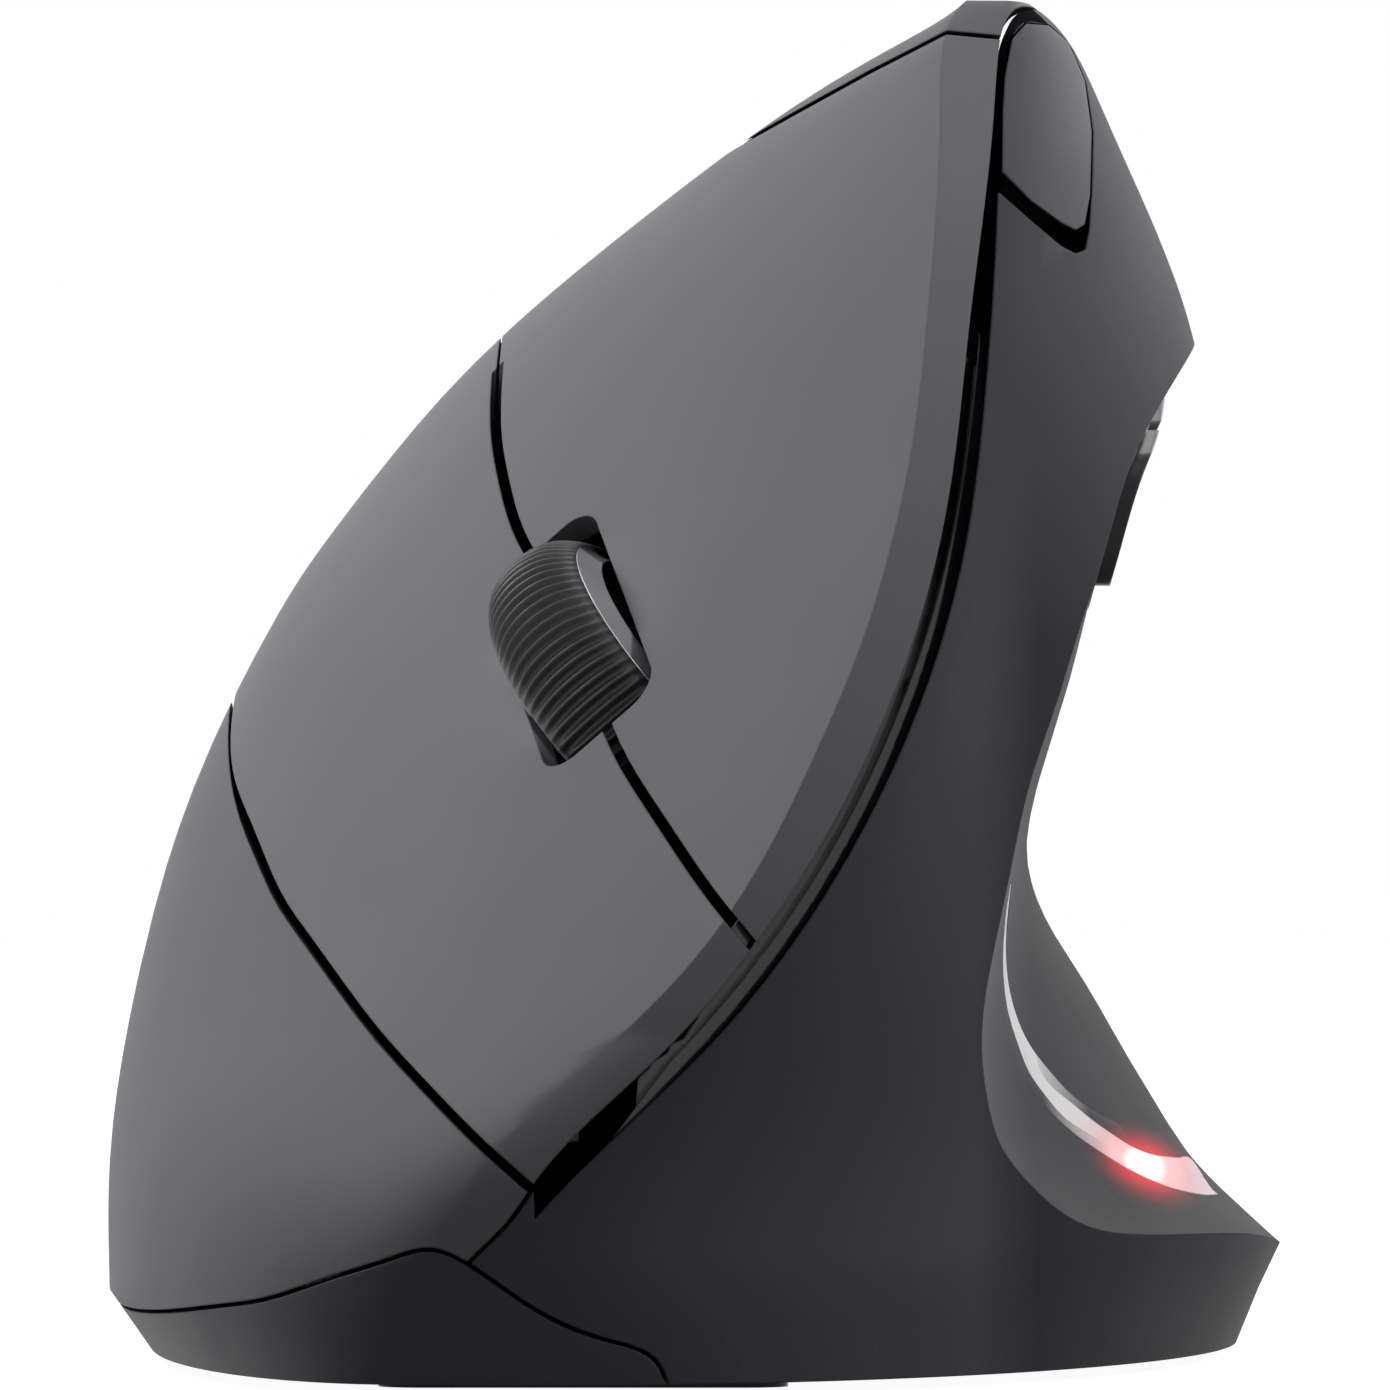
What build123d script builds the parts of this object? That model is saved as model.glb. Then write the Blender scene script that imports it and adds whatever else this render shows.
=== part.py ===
from build123d import *

import os
from functools import lru_cache

# Overall size of the mouse, in millimetres
body_length = 120.0
body_width = 66.2
body_height = 76.2
half_length = body_length / 2
half_width = body_width / 2
reach = 1.5 * body_length

# Shell sizes
foot_height = 0.6
wall = 2.2
floor_thickness = 2.4
floor_top = foot_height + floor_thickness
seam = 0.24
fit = 0.12

# Finger buttons
button_gap = 0.56
cap_gap = 0.24
thin_rows = 3
split_gap = 0.62
hairline_gap = 0.14
facet_relief = 0.15
rear_seam_y = 13.8
rear_seam_z = 57.0
rear_seam_lean = 14.0
rear_seam_gap = 0.45
hairline_from = 2.0

# Glossy trim in the front gap, on a lip of the thumb shell
gap_rear = -1.0
lip_depth = 3.0
lip_floor = 4.3
lip_under = 1.5
lip_rim = 1.4
trim_depth = 1.3
trim_clear = 0.62
trim_play = 0.06
trim_rows = slice(1, -7)

# Frame of the finger face, at the middle of the wheel opening
face_middle = (-6.9, -25.2, 40.4)
wheel_way_share = (0.739, -0.217, 0.638)
face_way_share = (-0.65, -0.48, 0.59)
finger_frame = Plane(origin=face_middle, x_dir=wheel_way_share, z_dir=face_way_share).location

# Wheel
wheel_radius = 10.6
hub_boss_radius = 3.0
hub_rim_width = 1.5
hub_rim_proud = 0.5
wheel_width = 6.4
wheel_sink = 5.9
wheel_back = -0.8
wheel_crown = 1.2
tyre_wall = 1.8
rim_recess = 0.9
axle_radius = 1.25
axle_length = 17.6
slot_length = 19.6
slot_width = 8.0
slot_corner = 2.0
slot_depth = 12.0
wheel_clear = 0.4

# Thumb buttons, in the side view
thumb_button_proud = 0.85
thumb_button_depth = 1.5
bezel_proud = 0.05
bezel_depth = 1.6
bezel_margin = 1.3
thumb_gap = 0.32
thumb_row_slope = 0.10
thumb_button_length = 21.0
thumb_button_height = 7.4
thumb_row_y = -1.0
thumb_row_z = 48.6
thumb_side_from = 10.0
stem_size = 2.4

# Wheel carrier, in the frame of the finger face
arm_inside = 4.4
arm_thickness = 1.4
arm_end_radius = 2.3
pivot_back = 17.0
pivot_depth = 11.2
pivot_end_radius = 2.2
pin_radius = 1.0
pin_play = 0.06
pin_length = 15.8
pin_bite = 0.02
button_room_depth = 0.8
tab_size = (4.8, 3.0, 1.4)
tab_place = (9.2, 6.0)
tab_travel = 0.62
encoder_size = (6.2, 8.2, 8.2)
encoder_depth = 8.1
leaf_size = (3.0, 0.3)
leaf_across = -9.0
leaf_line = ((13.2, 0.0), (9.0, 0.0), (1.0, 1.05), (-1.5, 1.05), (-3.5, 0.5))
mount_length = 7.0
mount_base = 1.4
mount_lug = 1.6
mount_play = 0.4

# Boards
board_thickness = 1.2
board_depth = 15.2
board_width = 27.6
board_length = 43.0
board_middle = (-1.2, -0.5)
board_inset = 4.9
board_window = (8.8, 26.0)
frame_thickness = 1.6
post_radius = 2.0
post_places = ((-2.0, -30.0), (-4.5, -5.5), (11.4, -30.0), (9.2, -5.2))
main_board_low = 6.6
main_board_size = (46.0, 38.0)
main_board_middle = (-1.0, -23.0)
main_board_inset = 3.4
hole_clear = 0.35
standoff_radius = 2.3
standoff_places = ((-17.0, -34.0), (-19.0, -8.0), (15.0, -10.0))
board_screw_radius = 1.0
board_screw_length = 4.2
board_screw_head = (1.9, 1.1)

# Switches
switch_size = (5.8, 12.8, 6.5)
switch_across = 7.5
switch_back = -12.0
switch_edge = 0.5
key_size = (1.4, 2.8, 0.7)
key_gap = 0.42
rib_size = (2.4, 3.2)
tact_size = (6.0, 6.0, 3.5)
tact_key_radius = 1.7
tact_key_height = 0.6
stem_gap = 0.6

# Hinge of the finger buttons, in the frame of the finger face
hinge_back = 37.0
hinge_depth = 13.0
hinge_pin_length = 27.0
hinge_pin_middle = 0.5
lug_width = 2.0
lug_length = 6.0
lug_height = 16.0
lug_low = 2.8
palm_lug_length = 20.0
index_lug_places = (4.6, 11.4)
middle_lug_places = (-4.6, -11.4)
palm_lug_places = (-8.0, 0.0, 8.0)

# Preset button switch, in the frame of the preset button
preset_middle = (19.3, -17.3, 65.4)
preset_way_share = (0.55, -0.52, 0.65)
preset_across_share = (0.684, 0.7235, 0.0)
preset_frame = Plane(origin=preset_middle, x_dir=preset_across_share, z_dir=preset_way_share).location
preset_board_size = (10.4, 10.8)
preset_board_middle = (2.0, -2.4)
preset_board_depth = 8.4
preset_post_places = ((0.0, -6.6), (6.0, -5.6))
preset_post_radius = 0.9
preset_stem_gap = 0.36

# Side board behind the thumb buttons
side_board_x = 15.6
side_board_size = (28.0, 17.4)
side_board_notch = (10.0, 5.4)
side_post_radius = 1.1
side_post_places = ((-12.0, -7.4), (12.0, 7.4))

# Optical sensor and status light
sensor_middle = (0.0, -15.0)
sensor_size = (9.9, 11.0, 2.8)
sensor_leg = (1.2, 0.6, 1.0)
sensor_leg_pitch = 2.4
lens_size = (12.0, 14.0, 1.6)
lens_radius = 2.4
lens_dome_share = 0.6
lens_low = 1.3
sensor_opening = (8.0, 10.0)
light_middle = (20.2, -22.0)
light_size = (3.2, 2.6, 1.5)

# Battery box and door
cell_radius = 5.25
cell_length = 44.0
cell_tip = (1.9, 0.8)
cell_spacing = 11.2
cell_low = 3.1
cell_front = -1.0
box_half = 12.4
box_front = -3.0
box_rear = 45.2
box_wall = 1.2
box_height = 9.0
contact_thickness = 0.4
contact_height = 7.0
contact_width = 8.4
door_thickness = 1.5
door_half = 12.9
door_front = -2.4
door_rear = 46.4
door_travel = 3.5
door_inset = 2.7
rail = 1.3
rail_low = 0.7
door_play = 0.18
grip_count = 5
grip_size = (12.0, 0.8, 0.35)
grip_pitch = 2.0
grip_rear = 40.0

# Stored receiver
plug_size = (12.0, 4.5, 12.2)
cap_size = (6.2, 4.6, 12.6)
receiver_x = 3.0
receiver_y = 48.6
receiver_low = 3.02
holder_size = (3.0, 7.0, 6.0)
holder_play = 0.1

# Power slider
power_middle = (-20.5, -22.0)
power_travel = 3.0
power_play = 0.2
knob_size = (3.4, 3.0)
knob_low = 0.15
flange_size = (8.6, 5.4, 0.9)
flange_play = 0.05
power_switch_size = (9.0, 4.2, 2.0)

# Glide pads and screws
pad_places = ((-6.0, -44.0), (-21.5, 20.0), (21.2, 25.0))
pad_sizes = ((22.0, 6.0), (6.0, 18.0), (6.0, 18.0))
pad_corner = 2.4
palm_screw_places = ((-26.0, -6.0), (-18.5, 35.0))
thumb_screw_places = ((22.5, 11.8), (2.5, -49.0))
cross_share = 1.2
cross_width_share = 0.28
cross_depth_share = 0.5
screw_radius = 1.1
screw_length = 7.0
screw_head = (2.1, 1.3)
screw_sink = 0.5
screw_play = 0.03
boss_radius = 2.6
boss_top = 60.0
front_boss_top = 12.0
boss_clear = 0.1

# Level sections of the body. Each row holds, as shares of the height and the half sizes:
# height, crease x and y, facet edge x and y, finger side x, widest y, tail x and y, thumb side x,
# slope at the crease, slope at the facet edge, fullness of the finger arc at both ends
level_shares = (
    (foot_height / body_height, -0.479, -0.968, -0.423, -0.975, -0.928, 0.10, 0.03, 0.950, 0.925,
     0.20, -0.22, 0.552, 0.552),
    (0.050, -0.460, -0.975, -0.400, -0.983, -0.998, 0.10, 0.03, 0.985, 0.965, 0.18, -0.18, 0.552, 0.552),
    (0.082, -0.437, -0.977, -0.373, -0.985, -1.000, 0.10, 0.03, 0.995, 1.000, 0.18, -0.15, 0.552, 0.552),
    (0.157, -0.342, -0.967, -0.237, -0.977, -0.997, 0.11, 0.04, 1.000, 0.990, 0.45, -0.03, 0.55, 0.52),
    (0.236, -0.155, -0.950, -0.050, -0.962, -0.973, 0.13, 0.06, 0.985, 0.975, 0.85, 0.08, 0.50, 0.46),
    (0.315, 0.021, -0.925, 0.106, -0.935, -0.935, 0.15, 0.08, 0.955, 0.960, 1.15, 0.15, 0.46, 0.38),
    (0.394, 0.136, -0.883, 0.224, -0.892, -0.882, 0.17, 0.11, 0.920, 0.940, 1.30, 0.20, 0.45, 0.32),
    (0.486, 0.235, -0.817, 0.324, -0.822, -0.792, 0.18, 0.16, 0.860, 0.920, 1.38, 0.25, 0.45, 0.30),
    (0.577, 0.309, -0.733, 0.393, -0.733, -0.675, 0.18, 0.22, 0.785, 0.895, 1.40, 0.30, 0.45, 0.30),
    (0.669, 0.357, -0.633, 0.433, -0.630, -0.515, 0.18, 0.29, 0.690, 0.885, 1.42, 0.35, 0.45, 0.30),
    (0.748, 0.381, -0.533, 0.455, -0.525, -0.348, 0.18, 0.35, 0.600, 0.858, 1.45, 0.40, 0.45, 0.30),
    (0.827, 0.399, -0.417, 0.481, -0.405, -0.136, 0.18, 0.41, 0.500, 0.797, 1.50, 0.45, 0.45, 0.30),
    (0.906, 0.410, -0.275, 0.504, -0.260, 0.104, 0.16, 0.46, 0.370, 0.716, 1.60, 0.50, 0.45, 0.32),
    (0.960, 0.418, -0.165, 0.515, -0.150, 0.303, 0.12, 0.50, 0.240, 0.657, 1.80, 0.60, 0.45, 0.35),
    (0.998, 0.460, -0.065, 0.525, -0.060, 0.457, 0.09, 0.51, 0.110, 0.575, 2.00, 0.60, 0.50, 0.40),
)
skirt_rows = 3
round_share = 0.552

# How far a corner point of an inner section moves for each millimetre of inset
crease_inset_shares = (0.2, 1.25)
side_inset_share = 1.15
tail_inset_share = 1.1
cap_drop_insets = (0.5, 3.0)

# Thumb scoop, as x and z shares, at the front and at its widest place
scoop_front_shares = (
    (1.02, 0.084), (0.90, 0.083), (0.80, 0.086), (0.725, 0.093), (0.657, 0.105), (0.60, 0.126),
    (0.557, 0.150), (0.52, 0.177), (0.498, 0.211), (0.487, 0.243), (0.487, 0.281), (0.498, 0.318),
    (0.52, 0.369), (0.552, 0.43), (0.592, 0.483), (0.628, 0.535), (0.665, 0.583), (0.72, 0.66),
    (0.79, 0.71), (0.88, 0.757))
scoop_middle_shares = (
    (1.03, 0.068), (0.93, 0.107), (0.86, 0.135), (0.785, 0.180), (0.715, 0.23), (0.67, 0.265),
    (0.597, 0.32), (0.565, 0.38), (0.585, 0.43), (0.635, 0.50), (0.70, 0.62), (0.765, 0.69),
    (0.875, 0.757))
scoop_station_shares = (-1.1, -0.66, 0.06, 0.55, 1.1)
scoop_drift_shares = (0.0, 0.0, 0.0, -0.02, -0.02)

# Seams, seen from the front, as x and z shares
ridge_line_shares = (
    (-0.44, -0.08), (-0.43, 0.03), (-0.362, 0.092), (-0.300, 0.119), (-0.256, 0.1455),
    (-0.050, 0.236), (0.106, 0.315), (0.224, 0.394), (0.324, 0.486), (0.393, 0.577), (0.433, 0.669),
    (0.455, 0.748), (0.481, 0.827), (0.504, 0.906), (0.515, 0.955), (0.524, 0.975), (0.545, 0.990),
    (0.585, 0.994), (0.65, 1.05))
gap_start_row = 4
gap_outer_shares = (
    (-0.256, 0.123), (-0.131, 0.178), (0.032, 0.247), (0.204, 0.344), (0.353, 0.469), (0.435, 0.582),
    (0.475, 0.697), (0.499, 0.814), (0.516, 0.92), (0.528, 0.958), (0.538, 0.972), (0.556, 0.981),
    (0.588, 0.982), (0.68, 1.01))
cap_seam_shares = ((-0.6, 0.75), (0.1, 0.902), (0.296, 0.946), (0.424, 0.972), (0.58, 0.966))
index_split_shares = (
    (0.16, 0.270), (0.104, 0.306), (0.032, 0.344), (-0.057, 0.399), (-0.119, 0.441),
    (-0.173, 0.498), (-0.224, 0.555), (-0.289, 0.600), (-0.322, 0.644), (-0.335, 0.674),
    (-0.338, 0.704), (-0.336, 0.727), (-0.334, 0.80))
palm_seam_shares = (
    (-0.80, 0.62), (-0.794, 0.479), (-0.784, 0.424), (-0.759, 0.395), (-0.728, 0.367),
    (-0.692, 0.338), (-0.643, 0.311), (-0.565, 0.270), (-0.509, 0.243), (-0.447, 0.217),
    (-0.349, 0.177), (-0.248, 0.139), (-0.15, 0.102))
base_seam_shares = (
    (-1.10, 0.040), (-0.88, 0.047), (-0.769, 0.057), (-0.701, 0.063), (-0.591, 0.080),
    (-0.488, 0.095), (-0.423, 0.102), (-0.362, 0.092), (-0.278, 0.067), (-0.145, 0.040),
    (-0.064, 0.025), (-0.043, 0.006), (-0.03, -0.06))

# Preset button on the ridge: its outline and the opening round it
preset_shares = (
    (0.522, 0.940), (0.5165, 0.915), (0.512, 0.8650), (0.5585, 0.844), (0.609, 0.8285), (0.633, 0.8235),
    (0.650, 0.828), (0.661, 0.850), (0.669, 0.900), (0.661, 0.940), (0.635, 0.968), (0.600, 0.980),
    (0.560, 0.980), (0.536, 0.968), (0.522, 0.940))
preset_slit_shares = (
    (0.490, 0.960), (0.490, 0.8535), (0.509, 0.8485), (0.5555, 0.8303), (0.609, 0.8110), (0.633, 0.8060),
    (0.650, 0.8090), (0.6585, 0.824), (0.6680, 0.868), (0.650, 0.870), (0.530, 0.960), (0.490, 0.960))
preset_hairline = 0.13
preset_gap = 0.30
preset_rear = 4.0
preset_proud = 0.35
preset_thickness = 1.9

# Light guide in the thumb scoop: its outer and inner edge
guide_outer_shares = (
    (0.517, 0.352), (0.5095, 0.330), (0.506, 0.305), (0.508, 0.280), (0.519, 0.254), (0.533, 0.236),
    (0.552, 0.216), (0.58, 0.199), (0.612, 0.183), (0.652, 0.171), (0.70, 0.158), (0.752, 0.148),
    (0.803, 0.142), (0.888, 0.122))
guide_inner_shares = (
    (0.5185, 0.352), (0.513, 0.325), (0.512, 0.298), (0.519, 0.275), (0.533, 0.254), (0.556, 0.234),
    (0.590, 0.215), (0.629, 0.197), (0.675, 0.183), (0.726, 0.172), (0.775, 0.166), (0.822, 0.163),
    (0.85, 0.160), (0.888, 0.122))
guide_front = -52.0
guide_rear = 8.0


def share_points(shares):
    """Points in millimetres, as x and z, from a table of shares"""
    return [(x * half_width, z * body_height) for x, z in shares]


def shifted(points, distance):
    """The points moved to the left of their direction of travel"""
    moved = []
    last = len(points) - 1
    for index, point in enumerate(points):
        before = points[max(index - 1, 0)]
        after = points[min(index + 1, last)]
        run = Vector(after[0] - before[0], after[1] - before[1]).normalized()
        moved.append((point[0] - distance * run.Y, point[1] + distance * run.X))
    return moved


def on_front(point, y=0.0):
    return Vector(point[0], y, point[1])


def front_curve(points, y=0.0):
    return Edge.make_spline([on_front(point, y) for point in points])


def front_chain(points, y=0.0):
    return [Edge.make_line(on_front(a, y), on_front(b, y)) for a, b in zip(points, points[1:])]


def front_prism(edges, start, end):
    """Solid with an outline in the front view, from one y to another"""
    outline = Face(Wire(edges)).moved(Location((0, start, 0)))
    return Solid.extrude(outline, Vector(0, end - start, 0))


def beside(points, far, start=-reach, end=reach):
    """Everything between a curve in the front view and an upright line at x = far"""
    corners = [points[-1], (far, points[-1][1]), (far, points[0][1]), points[0]]
    return front_prism([front_curve(points)] + front_chain(corners), start, end)


def below(points, low, start=-reach, end=reach):
    """Everything between a curve in the front view and a level line at z = low"""
    corners = [points[-1], (points[-1][0], low), (points[0][0], low), points[0]]
    return front_prism([front_curve(points)] + front_chain(corners), start, end)


def upright_outline(middle_y, middle_z, length, height, slope, corner):
    """Long rounded outline in the side view, leaning up towards the back"""
    plane = Plane(origin=(0, middle_y, middle_z), x_dir=(0, 1, slope), z_dir=(1, 0, 0))
    return plane * RectangleRounded(length, height, corner)


def ribbon(left, right, start=-reach, end=reach):
    """Strip between two curves in the front view that run the same way"""
    edges = [front_curve(left), front_curve(right)]
    edges += front_chain([left[-1], right[-1]]) + front_chain([left[0], right[0]])
    return front_prism(edges, start, end)


def slab(low, high):
    return Pos(0, 0, (low + high) / 2) * Box(reach, reach, high - low)


def ahead_of_rear_seam(distance):
    """Everything in front of the leaning seam behind the finger buttons"""
    at_seam = Pos(0, rear_seam_y + distance, rear_seam_z) * Rot(rear_seam_lean, 0, 0)
    return at_seam * Pos(0, -reach / 2, 0) * Box(reach, reach, reach)


def finger_block(middle, size):
    """Box given in the frame of the finger face: across, back along the face, outward"""
    return finger_frame * Pos(*middle) * Box(*size)


def finger_rod(middle, radius, length, turn=(0, 90, 0)):
    """Round bar in the frame of the finger face, across it unless turned"""
    return finger_frame * Pos(*middle) * Rot(*turn) * Cylinder(radius, length)


def standing_rod(x, y, low, high, radius):
    return Pos(x, y, (low + high) / 2) * Cylinder(radius, high - low)


def level_box(x, y, low, size):
    return Pos(x, y, low + size[2] / 2) * Box(*size)


def both(a, b):
    return one_solid(a.intersect(b))


def one_solid(shape):
    """The largest solid of a result, without the crumbs of a cut"""
    pieces = shape.solids() if hasattr(shape, "solids") else ShapeList(shape).solids()
    return sorted(pieces, key=lambda piece: piece.volume)[-1]


def quarter(start, start_way, start_fullness, end, end_fullness):
    """Curve from a point with a given slope to a point where it runs along y or x"""
    wide = end[0] - start[0]
    deep = end[1] - start[1]
    leave = (start[0] + start_way[0] * start_fullness, start[1] + start_way[1] * start_fullness, start[2])
    arrive = (end[0], end[1] - deep * end_fullness, end[2])
    return Edge.make_bezier(start, leave, arrive, end)


def level_section(row, inset):
    (height, crease_x, crease_y, facet_x, facet_y, finger_x, widest_y, tail_x, tail_y, thumb_x,
     crease_slope, facet_slope, crease_fullness, finger_fullness) = row
    z = height * body_height
    sideways = crease_inset_shares[0] * inset
    backward = crease_inset_shares[1] * inset
    widest = widest_y * half_length
    crease = (crease_x * half_width + sideways, crease_y * half_length + backward, z)
    facet = (facet_x * half_width - sideways, facet_y * half_length + backward, z)
    finger = (finger_x * half_width + side_inset_share * inset, widest, z)
    tail = (tail_x * half_width, tail_y * half_length - tail_inset_share * inset, z)
    thumb = (thumb_x * half_width - inset, widest, z)
    finger_run = crease[0] - finger[0]
    facet_run = thumb[0] - facet[0]
    return Wire([
        quarter(crease, (-finger_run, crease_slope * finger_run), crease_fullness, finger, finger_fullness),
        quarter(tail, (finger[0] - tail[0], 0), round_share, finger, round_share),
        quarter(tail, (thumb[0] - tail[0], 0), round_share, thumb, round_share),
        quarter(facet, (facet_run, facet_slope * facet_run), round_share, thumb, round_share),
        Edge.make_line(facet, crease)])


def envelope(inset):
    """The outer form without the thumb scoop, moved inward by inset"""
    rows = level_shares[:len(level_shares) - sum(inset > limit for limit in cap_drop_insets)]
    skirt = Solid.make_loft([level_section(row, inset) for row in rows[:skirt_rows]], ruled=True)
    upper = Solid.make_loft([level_section(row, inset) for row in rows[skirt_rows - 1:]])
    return skirt.fuse(upper)


def scoop_section(shares, station, drift, inset):
    points = shifted([(x + drift * half_width, z) for x, z in share_points(shares)], inset)
    y = station * half_length
    corners = [points[-1], (body_width, points[-1][1]), (body_width, points[0][1]), points[0]]
    return Wire([front_curve(points, y)] + front_chain(corners, y))


def scoop(inset):
    tables = (scoop_front_shares,) * 2 + (scoop_middle_shares,) * 3
    rows = zip(tables, scoop_station_shares, scoop_drift_shares)
    return Solid.make_loft([scoop_section(table, station, drift, inset) for table, station, drift in rows])


@lru_cache(maxsize=None)
def body(inset):
    return envelope(inset).cut(scoop(inset))


def ridge_curve(distance=0.0):
    return shifted(share_points(ridge_line_shares), facet_relief + distance)


def base_zone(raised):
    return below(shifted(share_points(base_seam_shares), raised), -body_height)


def finger_area(grown):
    """Front outline of both finger buttons, grown outward by a distance"""
    thin = grown * cap_gap / button_gap
    seam_line = share_points(palm_seam_shares)
    seam_points = shifted(seam_line, -thin)[:thin_rows] + shifted(seam_line, -grown)[thin_rows:]
    cap_points = shifted(share_points(cap_seam_shares), thin)
    far = body_width
    edges = [front_curve(seam_points)]
    edges += front_chain([seam_points[-1], (far, seam_points[-1][1]), (far, cap_points[-1][1])])
    edges += front_chain([(far, cap_points[-1][1])] + cap_points[::-1] + [seam_points[0]])
    return front_prism(edges, -reach, reach)


def split_ribbon(width, rear):
    points = share_points(index_split_shares)
    return ribbon(shifted(points, width / 2), shifted(points, -width / 2), -reach, rear)


def gap_ribbon(left_extra, right_extra, rows=slice(None)):
    """Strip along the front gap, widened on either side"""
    left = ridge_curve(left_extra)[gap_start_row:][rows]
    right = shifted(share_points(gap_outer_shares), -right_extra)[rows]
    return ribbon(left, right, -reach, gap_rear)


def finger_side(skin):
    return both(skin, beside(ridge_curve(), -body_width))


def palm_shell(skin):
    opening = finger_area(button_gap / 2) & ahead_of_rear_seam(rear_seam_gap)
    shell = finger_side(skin).cut(base_zone(seam / 2), opening)
    return one_solid(shell)


def button_cover(skin):
    """Both finger buttons as one piece, before the split between them"""
    return both(both(finger_side(skin), finger_area(-button_gap / 2)), ahead_of_rear_seam(0))


def finger_buttons(skin):
    cover = button_cover(skin)
    cover = cover.cut(split_ribbon(split_gap, hairline_from), split_ribbon(hairline_gap, reach))
    pieces = sorted(cover.solids(), key=lambda piece: piece.volume)[-2:]
    return sorted(pieces, key=lambda piece: piece.center().X)


def front_trim():
    """Glossy strip along the bottom of the front gap, with a step under the finger buttons"""
    strip = both(body(trim_depth), gap_ribbon(-trim_clear, -trim_play, trim_rows))
    shelf = both(body(lip_depth), gap_ribbon(lip_under, lip_rim, trim_rows))
    seat = both(body(wall), gap_ribbon(-trim_clear, lip_rim, trim_rows))
    return one_solid(strip.fuse(seat, shelf).cut(body(lip_floor)))


def thumb_side(skin):
    shell = skin.cut(beside(ridge_curve(-seam), -body_width), base_zone(seam / 2), gap_ribbon(0, 0))
    return one_solid(shell)


def preset_zone(grown):
    loop = share_points(preset_shares)
    points = shifted(loop[-2:-1] + loop + loop[1:2], -grown)[1:-2]
    return front_prism(front_chain(points + points[:1]), -reach, preset_rear + grown)


def preset_opening():
    """Hairline round the preset button, wider below and beside the finger buttons"""
    slit = front_prism(front_chain(share_points(preset_slit_shares)), -reach, preset_rear + preset_gap)
    return [preset_zone(preset_hairline), slit]


def preset_button():
    """Flexing tongue on the ridge, standing a little proud"""
    pad = both(body(-preset_proud), preset_zone(0)).cut(body(preset_thickness))
    return one_solid(pad)


def thumb_zone(middle_y, length, height, start):
    z = thumb_row_z + thumb_row_slope * (middle_y - thumb_row_y)
    outline = upright_outline(middle_y, z, length, height, thumb_row_slope, height / 2.2)
    return extrude(Pos(start, 0, 0) * outline, body_width)


def bezel_zone(grown):
    length = 2 * thumb_button_length + thumb_gap + 2 * (bezel_margin + grown)
    return thumb_zone(thumb_row_y, length, thumb_button_height + 2 * (bezel_margin + grown), thumb_side_from)


def thumb_button_zones(grown):
    step = (thumb_button_length + thumb_gap) / 2
    return [thumb_zone(thumb_row_y + side * step, thumb_button_length + 2 * grown,
                       thumb_button_height + 2 * grown, thumb_side_from) for side in (-1, 1)]


def light_guide(outer, inner):
    outer_edge = share_points(guide_outer_shares)
    inner_edge = share_points(guide_inner_shares)
    edges = [front_curve(outer_edge), front_curve(inner_edge)] + front_chain([outer_edge[0], inner_edge[0]])
    crescent = front_prism(edges, guide_front, guide_rear)
    return one_solid(both(outer, crescent).cut(inner)), crescent


def floor_slab(inset):
    return both(body(inset), slab(foot_height, floor_top))


def screw_well(x, y):
    """Stepped hole for a case screw, open at the underside"""
    sink = foot_height + screw_sink + screw_head[1]
    shaft = standing_rod(x, y, foot_height, floor_top, screw_radius + fit)
    return [standing_rod(x, y, 0, sink, screw_head[0] + fit), shaft]


def battery_box():
    """Open frame round both cells"""
    middle = (box_front + box_rear) / 2
    length = box_rear - box_front
    outer = level_box(0, middle, foot_height, (2 * box_half, length, floor_thickness + box_height))
    return outer, battery_room()


def battery_room():
    middle = (box_front + box_rear) / 2
    length = box_rear - box_front - 2 * box_wall
    return level_box(0, middle, 0, (2 * (box_half - box_wall), length, body_height))


def door_channel():
    """Room in the floor for the sliding door and its two tongues"""
    length = door_rear + door_travel + 2 * door_play - door_front
    middle = (door_rear + door_travel + door_front) / 2
    top = foot_height + door_thickness + door_play
    main = level_box(0, middle, 0, (2 * (door_half + door_play), length, top))
    low = foot_height + rail_low - door_play
    wide = level_box(0, middle, low, (2 * (door_half + rail + door_play), length, top - low))
    return both(main.fuse(wide), body(door_inset))


def door_floor():
    """Battery door with side tongues and a row of grip bars"""
    length = door_rear - door_front
    middle = (door_rear + door_front) / 2
    main = level_box(0, middle, foot_height, (2 * door_half, length, door_thickness))
    wide = level_box(0, middle, foot_height + rail_low, (2 * (door_half + rail), length, door_thickness - rail_low))
    room = body(door_inset + door_play).moved(Location((0, -door_travel, 0)))
    door = both(main.fuse(wide), room)
    bars = [level_box(0, grip_rear - index * grip_pitch, foot_height, grip_size) for index in range(grip_count)]
    return one_solid(door.cut(*bars))


def base_tray(skin):
    """Bottom shell: floor, rim, battery box, stand-offs and openings"""
    zone = base_zone(-seam / 2)
    rim = both(skin, zone)
    bridge = both(floor_slab(wall / 2), zone)
    box, room = battery_box()
    tray = rim.fuse(bridge, floor_slab(wall + fit), box)
    stands = [standing_rod(x, y, foot_height, main_board_low, standoff_radius) for x, y in standoff_places]
    tray = tray.fuse(*stands, *receiver_holders())
    cuts = [room, door_channel(), sensor_window(), power_slot()]
    for x, y in palm_screw_places + thumb_screw_places:
        cuts += screw_well(x, y)
    cuts += [standing_rod(x, y, floor_top, main_board_low, board_screw_radius) for x, y in standoff_places]
    return one_solid(tray.cut(*cuts))


def receiver_holders():
    """Two clips on the floor that hold the stored receiver"""
    places = (receiver_x - plug_size[0] / 2, receiver_x + plug_size[0] / 2)
    clips = [level_box(x, receiver_y, floor_top - fit, holder_size) for x in places]
    slot = level_box(receiver_x, receiver_y, receiver_low - holder_play,
                     (body_width, cap_size[1] + 2 * holder_play, plug_size[2]))
    return [clip.cut(slot) for clip in clips]


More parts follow.
